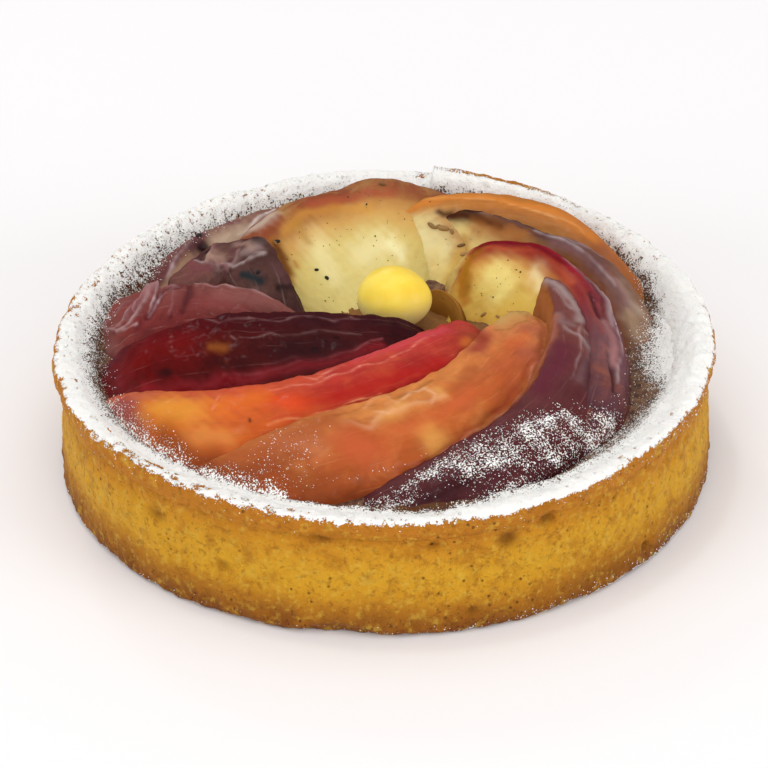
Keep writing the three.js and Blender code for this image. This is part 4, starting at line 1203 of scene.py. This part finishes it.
def grain_material():
    finish = Finish("icing_sugar")
    finish.set(
        base_color=colour("#f8f7f4"),
        roughness=0.6,
        subsurface_weight=0.2,
        subsurface_scale=0.2 * MM,
    )
    return finish.material


def speck_material():
    """Spice and browned crumbs, from near black to brown."""
    finish = Finish("spice_specks")
    tone = finish.attribute("tone")
    finish.set(
        base_color=finish.ramp(tone, ["#140d08", "#2a1a0c", "#6a4820", "#a8804a"]),
        roughness=0.55,
        specular_ior_level=0.3,
        normal=finish.bump(finish.noise(finish.spot(), 0.4, 3), 0.2),
    )
    return finish.material


# ---------------------------------------------------------------- shell, filling and nut


def waver(angle, seed):
    """Smooth unevenness round the tart, from -1 to 1, as in the part's source."""
    return (
        0.5 * np.sin(3 * angle + 1.7 * seed)
        + 0.3 * np.sin(7 * angle + 2.9 * seed)
        + 0.2 * np.sin(13 * angle + 4.3 * seed)
    )


def shell_rows(angle):
    """Radius and height of each row of the shell's profile, all round. The chip takes the foot of
    the wall, and the lip and the rim tilt, wave and carry the raised flake."""
    degrees = np.degrees(angle) % 360
    share = (degrees - FLAKE["end"]) / (FLAKE["start"] - FLAKE["end"])
    flake = FLAKE["height"] * np.sqrt(np.clip(share, 0, 1)) * ((share > 0) & (share < 1))
    spread = 0.4 + 0.6 * np.maximum(*(bump_at(degrees, *lean) for lean in LIP_LEAN))
    chip = bump_at(degrees, CHIP["at"], CHIP["half_width"])
    rows = [(r + 0 * angle, z + 0 * angle) for r, z in FOOT_ROWS]
    for row, (r, z) in enumerate(WALL_ROWS, len(rows)):
        chipped = chip * (row <= len(FOOT_ROWS) + 1)
        wavy = r + WALL_WAVES * waver(angle, 3 + row)
        rows.append((wavy - CHIP["depth"] * chipped, z + CHIP["height"] * chipped))
    for row, (r, z) in enumerate(LIP_ROWS + RIM_ROWS):
        lean = spread if row < len(LIP_ROWS) else 1
        radius = NECK_RADIUS + (r - NECK_RADIUS) * lean + LIP_WAVES * waver(angle, 2)
        level = z + RIM_TILT * r * np.sin(angle) + RIM_WAVES * waver(angle, 1)
        rows.append((radius, level + flake))
    rows += [(r + 0 * angle, z + 0 * angle) for r, z in WELL_ROWS]
    return np.array(rows)


def softened(rows, places, width):
    """Points at places along the rows' line, with its corners rounded over a width in mm."""
    line = np.array(FOOT_ROWS + WALL_ROWS + LIP_ROWS + RIM_ROWS + WELL_ROWS, float)
    run = np.concatenate([[0], np.cumsum(np.hypot(*np.diff(line, axis=0).T))])
    found = 0
    shifts = np.linspace(-width / 2, width / 2, 9)
    for shift in shifts:
        at = np.clip(places + shift, 0, run[-1])
        i = np.clip(np.searchsorted(run, at) - 1, 0, len(line) - 2)
        part = ((at - run[i]) / (run[i + 1] - run[i]))[:, None]
        found = found + (rows[i] * (1 - part) + rows[i + 1] * part) / len(shifts)
    return found


def grid_piece(name, u_steps, v_steps):
    """A flat grid to bend into a shape, and its points from 0 to 1 each way."""
    deselect_all()
    bpy.ops.mesh.primitive_grid_add(x_subdivisions=u_steps, y_subdivisions=v_steps, size=1)
    piece = bpy.context.object
    piece.name = piece.data.name = name
    flat = np.clip(points_of(piece) * MM + 0.5, 0, 1)
    return piece, flat[:, 0], flat[:, 1]


def close_seams(piece):
    """Merges the points that meet, and turns the faces outwards."""
    choose(piece)
    bpy.ops.object.mode_set(mode="EDIT")
    bpy.ops.mesh.select_all(action="SELECT")
    bpy.ops.mesh.remove_doubles(threshold=0.01 * MM)
    bpy.ops.mesh.normals_make_consistent(inside=False)
    bpy.ops.object.mode_set(mode="OBJECT")


def turned_shell():
    """The shell's profile turned round the Z axis, with a point at each place along it."""
    places = np.concatenate([BASE_PLACES, np.linspace(*SEEN_PLACES), INNER_PLACES])
    piece, u, v = grid_piece("crust_baked", SHELL_STEPS, len(places) - 1)
    turn = np.linspace(0, 2 * math.pi, SHELL_STEPS + 1)
    rows = shell_rows(turn)
    column = np.rint(u * SHELL_STEPS).astype(int)
    row = np.rint(v * (len(places) - 1)).astype(int)
    profile = np.stack([softened(rows[:, k], places, CORNER_WIDTH) for k in (0, 1)])
    radius, z = profile[:, row, column]
    angle = turn[column] * (column < SHELL_STEPS)
    move_points(piece, np.column_stack([radius * np.cos(angle), radius * np.sin(angle), z]))
    close_seams(piece)
    return piece


def crust_piece():
    """The shell, turned from its profile, roughened and marked."""
    piece = turned_shell()
    roughen(piece, "crust_swell", 6, 3, 0.8)
    roughen(piece, "crust_crumb", 1.8, 3, 0.65)
    points = points_of(piece)
    radius, angle = round_axis(points)
    hollow = np.zeros(len(points))
    for at, height, wide, high, depth in WALL_MARKS:
        across = np.radians((angle - at + 180) % 360 - 180) * WALL_OUTSIDE
        away = np.hypot(across / wide, (points[:, 2] - height) / high)
        pushed = depth * np.exp(-(away**2)) * (radius > OUTER_WALL)
        hollow = np.maximum(hollow, pushed / DEEPEST_MARK)
        points[:, :2] *= (1 - pushed / np.maximum(radius, 1))[:, None]
    points[:, 2] = np.maximum(points[:, 2], 0)
    move_points(piece, points)
    # The hollows' painted shade, which the material reads
    set_attribute(piece, "hollow", np.minimum(1, MARK_SHADE * hollow))
    pile_up(piece, dust(piece), 0.35)
    return finished(piece, crust_material(), "crust")


def pile_up(piece, cover, height):
    """Raises the surface under thick sugar, as drifts of fine powder."""
    points = points_of(piece)
    uneven = 0.5 + 0.35 * wander(points, 0.9) + 0.35 * wander(points[:, [1, 2, 0]], 0.37)
    points[:, 2] += height * smooth_step(0.35, 0.9, cover) * np.clip(uneven, 0, 1.2)
    move_points(piece, points)


def filling_piece():
    """The baked filling: a disc whose top climbs to the wall, and whose edge meets it."""
    piece, u, v = grid_piece("filling_baked", *FILLING_STEPS)
    turn = 2 * math.pi * u * (u < 0.9995)
    inwards = 1 - np.clip(v - SIDE_END, 0, 1) / (1 - SIDE_END)
    radius = FILLING_RADIUS * np.where(v < UNDERSIDE, v / UNDERSIDE, inwards)
    spread = smooth_step(FILLING_SPREAD["start"], FILLING_RADIUS, radius)
    radius += FILLING_SPREAD["reach"] * spread * smooth_step(0.05, SIDE_END, v)
    climb_width = WALL_INSIDE - FILLING_LEVEL_RADIUS
    level = np.maximum(0, (radius - FILLING_LEVEL_RADIUS) / climb_width)
    top = FILLING_TOP + FILLING_RISE * level**2 + FILLING_WAVES * level * waver(turn, 9)
    z = FILLING_BOTTOM + (top - FILLING_BOTTOM) * smooth_step(UNDERSIDE, SIDE_END, v)
    move_points(piece, np.column_stack([radius * np.cos(turn), radius * np.sin(turn), z]))
    close_seams(piece)
    roughen(piece, "filling_swell", 5, 2, 0.6)
    roughen(piece, "filling_crumb", 1.2, 3, 0.6)
    points = points_of(piece)
    radius, _ = round_axis(points)
    climb = smooth_step(FILLING_BANK["start"], WALL_INSIDE, radius)
    points[:, 2] += FILLING_BANK["height"] * climb * (points[:, 2] > SUGAR_FLOOR)
    move_points(piece, points)
    pile_up(piece, dust(piece), 0.45)
    return finished(piece, filling_material(), "filling")


def nut_piece():
    """The nut: a ball squashed to the solid's egg shape, with faint flats on it."""
    deselect_all()
    bpy.ops.mesh.primitive_ico_sphere_add(subdivisions=6, radius=MM)
    piece = bpy.context.object
    piece.name = piece.data.name = "nut_blanched"
    points = points_of(piece)
    slim = 1 - NUT_SLIMMING * np.maximum(0, points[:, 0]) ** 2
    points[:, 1:] *= slim[:, None]
    turn = np.array(Matrix.Rotation(NUT_TURN, 3, "Z"))
    move_points(piece, points * NUT_RADII @ turn.T + NUT_PLACE)
    roughen(piece, "nut_flats", 5, 1, 0.5)
    return finished(piece, nut_material(), "nut")


# ---------------------------------------------------------------- sugar grains and specks


def surface_of(pieces):
    """A tree of the pieces' surfaces in mm, to find what lies below a place."""
    points, faces = [], []
    for piece in pieces:
        start = len(points)
        points.extend(points_of(piece).tolist())
        faces.extend([start + corner for corner in face.vertices] for face in piece.data.polygons)
    return BVHTree.FromPolygons(points, faces)


def found_below(surface, places):
    """Where rays from above meet the surface, and which way it faces there."""
    hits = [surface.ray_cast((x, y, ABOVE), (0, 0, -1))[:2] for x, y in places]
    hits = [(tuple(at), tuple(facing)) for at, facing in hits if at is not None]
    return np.array(hits).swapaxes(0, 1)


def found_on_wall(surface, turns, heights):
    """Where rays from all round meet the wall, and which way it faces there."""
    hits = []
    for turn, height in zip(turns, heights):
        way = Vector((math.cos(turn), math.sin(turn), 0))
        at, facing, _, _ = surface.ray_cast(way * BEYOND + Vector((0, 0, height)), -way)
        if at is not None:
            hits.append((tuple(at), tuple(facing)))
    return np.array(hits).swapaxes(0, 1)


def scattered_piece(name, shape, places, facing, sizes, draw):
    """Copies of a small rough shape, each turned at random and laid flat on the surface."""
    corners, faces = shape
    up = unit(facing)
    turn = draw.uniform(0, 2 * math.pi, len(places))
    side = np.column_stack([np.cos(turn), np.sin(turn), np.zeros(len(places))])
    side = unit(side - up * np.sum(side * up, axis=1)[:, None])
    axes = np.stack([side, np.cross(up, side), up], 1) * sizes[:, :, None]
    rough = np.array(corners)[None] * draw.uniform(0.7, 1.3, (len(places), len(corners), 1))
    points = np.einsum("nck,nkd->ncd", rough, axes) + places[:, None]
    numbers = np.array(faces)[None] + len(corners) * np.arange(len(places))[:, None, None]
    mesh = bpy.data.meshes.new(name)
    mesh.from_pydata((points.reshape(-1, 3) * MM).tolist(), [], numbers.reshape(-1, 3).tolist())
    piece = bpy.data.objects.new(name, mesh)
    bpy.context.scene.collection.objects.link(piece)
    return piece


def chip_shape():
    """A small lump with eight faces."""
    corners = [(1, 0, 0), (0, 1, 0), (-1, 0, 0), (0, -1, 0), (0, 0, 1), (0, 0, -1)]
    faces = [(k, (k + 1) % 4, 4) for k in range(4)] + [((k + 1) % 4, k, 5) for k in range(4)]
    return corners, faces


def grain_piece(surface):
    """Loose grains of sugar where its cover thins out, and a few on the wall and at its foot."""
    draw = np.random.default_rng(SEED)
    radius = np.sqrt(draw.uniform(GRAIN_RING[0] ** 2, GRAIN_RING[1] ** 2, GRAIN_TRIES))
    turn = draw.uniform(0, 2 * math.pi, GRAIN_TRIES)
    tried = np.column_stack([radius * np.cos(turn), radius * np.sin(turn)])
    on_top, facing = found_below(surface, tried)
    cover = sugar_cover(on_top, facing)
    chance = 0.05 * smooth_step(0, 0.1, cover) + 0.9 * cover * (1.15 - cover)
    kept = draw.uniform(0, 1, len(cover)) < chance
    kept &= on_top[:, 2] > 15
    count = WALL_GRAINS
    at_right = draw.uniform(0, 1, count) < 0.6
    turns = np.where(at_right, draw.normal(-38, 20, count), draw.uniform(-170, 10, count))
    at_foot = draw.uniform(0, 1, count) < 0.55
    low = draw.exponential(0.7, count) + 0.3
    high = WALL_TOP - draw.exponential(1.2, count)
    heights = np.clip(np.where(at_foot, low, high), 0.3, 21)
    on_wall, wall_facing = found_on_wall(surface, np.radians(turns), heights)
    places = np.concatenate([on_top[kept], on_wall])
    facing = np.concatenate([facing[kept], wall_facing])
    count = len(places)
    sizes = draw.uniform(0.05, 0.12, count)[:, None] * draw.uniform(0.7, 1.2, (count, 3))
    raised = places + facing * 0.04
    piece = scattered_piece("sugar_grains", chip_shape(), raised, facing, sizes, draw)
    piece.data.materials.append(grain_material())
    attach(piece, "root")
    return piece


def speck_piece(surface):
    """Black and brown specks of spice on the pale flesh, with a few browned curls."""
    draw = np.random.default_rng(SEED + 1)
    spread = [draw.normal((x, y), wide, (count, 2)) for x, y, wide, count in SPECK_CLOUDS]
    spread = np.concatenate(spread)
    listed = np.array(SPECKS + CURLS + DARK_SPOTS, float)
    places, facing = found_below(surface, np.concatenate([listed[:, :2], spread]))
    widths = np.concatenate([listed[:, 2], draw.uniform(0.08, 0.2, len(spread))])
    sizes = widths[:, None] * (1, 0.75, 0.45)
    tone = draw.uniform(0, 0.45, len(places))
    curls = slice(len(SPECKS), len(SPECKS) + len(CURLS))
    sizes[curls] *= (1.6, 0.9, 1.6)
    tone[curls] = draw.uniform(0.65, 1, len(CURLS))
    tone[curls.stop : len(listed)] = 0
    shape = chip_shape()
    raised = places + facing * 0.05
    piece = scattered_piece("spice_specks", shape, raised, facing, sizes, draw)
    set_attribute(piece, "tone", np.repeat(tone, len(shape[0])))
    apply_modifier(piece, "SUBSURF", levels=2)
    roughen(piece, "speck_roughness", 0.5, 2, 0.12)
    bpy.ops.object.shade_smooth()
    piece.data.materials.append(speck_material())
    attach(piece, "root")
    return piece


def keep_within(pieces, box):
    """Holds every piece inside the part's box, given in metres."""
    low, high = np.array(box) / MM
    for piece in pieces:
        move_points(piece, np.clip(points_of(piece), low + HAIR, high - HAIR))


# ---------------------------------------------------------------- stage, light and camera


def build_stage():
    deselect_all()
    bpy.ops.mesh.primitive_plane_add(size=6)
    floor = bpy.context.object
    floor.name = "floor"
    finish = Finish("floor")
    finish.set(base_color=colour("#f4f2f3"), roughness=0.9)
    floor.data.materials.append(finish.material)


def add_light(name, place, size, power):
    light = bpy.data.lights.new(name, "AREA")
    light.shape = "DISK"
    light.size = size
    light.energy = power
    lamp = bpy.data.objects.new(name, light)
    bpy.context.scene.collection.objects.link(lamp)
    lamp.location = place
    lamp.rotation_mode = "QUATERNION"
    lamp.rotation_quaternion = (-Vector(place)).to_track_quat("-Z", "Y")


def build_light():
    world = bpy.data.worlds.new("studio")
    world.use_nodes = True
    backdrop = world.node_tree.nodes["Background"]
    backdrop.inputs["Color"].default_value = BACKDROP_COLOUR
    backdrop.inputs["Strength"].default_value = BACKDROP_STRENGTH
    bpy.context.scene.world = world
    for lamp in LAMPS:
        add_light(*lamp)
    bpy.context.scene.view_settings.view_transform = "Standard"


def build_camera():
    lens = bpy.data.cameras.new("camera")
    lens.lens = CAMERA_LENS
    lens.sensor_width = 36
    lens.clip_start, lens.clip_end = 0.01, 20
    camera = bpy.data.objects.new("camera", lens)
    bpy.context.scene.collection.objects.link(camera)
    camera.location = Vector(CAMERA_PLACE) * MM
    aim = (Vector(CAMERA_TARGET) - Vector(CAMERA_PLACE)).to_track_quat("-Z", "Y")
    camera.rotation_mode = "QUATERNION"
    camera.rotation_quaternion = aim @ Matrix.Rotation(-CAMERA_ROLL, 3, "Z").to_quaternion()
    bpy.context.scene.camera = camera


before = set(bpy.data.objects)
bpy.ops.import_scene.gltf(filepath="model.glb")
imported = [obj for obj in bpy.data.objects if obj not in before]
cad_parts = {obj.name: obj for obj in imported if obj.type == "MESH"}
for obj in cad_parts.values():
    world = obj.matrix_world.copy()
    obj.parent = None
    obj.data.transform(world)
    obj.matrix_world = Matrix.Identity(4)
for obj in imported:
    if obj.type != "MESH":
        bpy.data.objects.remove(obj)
solid_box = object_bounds()
build_camera()
build_light()
build_stage()
crust = crust_piece()
filling = filling_piece()
nut = nut_piece()
wedges = [wedge_piece(wedge) for wedge in WEDGES]
surface = surface_of([crust, filling, nut, *wedges])
grains = grain_piece(surface)
specks = speck_piece(surface)
keep_within([crust, filling, nut, *wedges, grains, specks], solid_box)
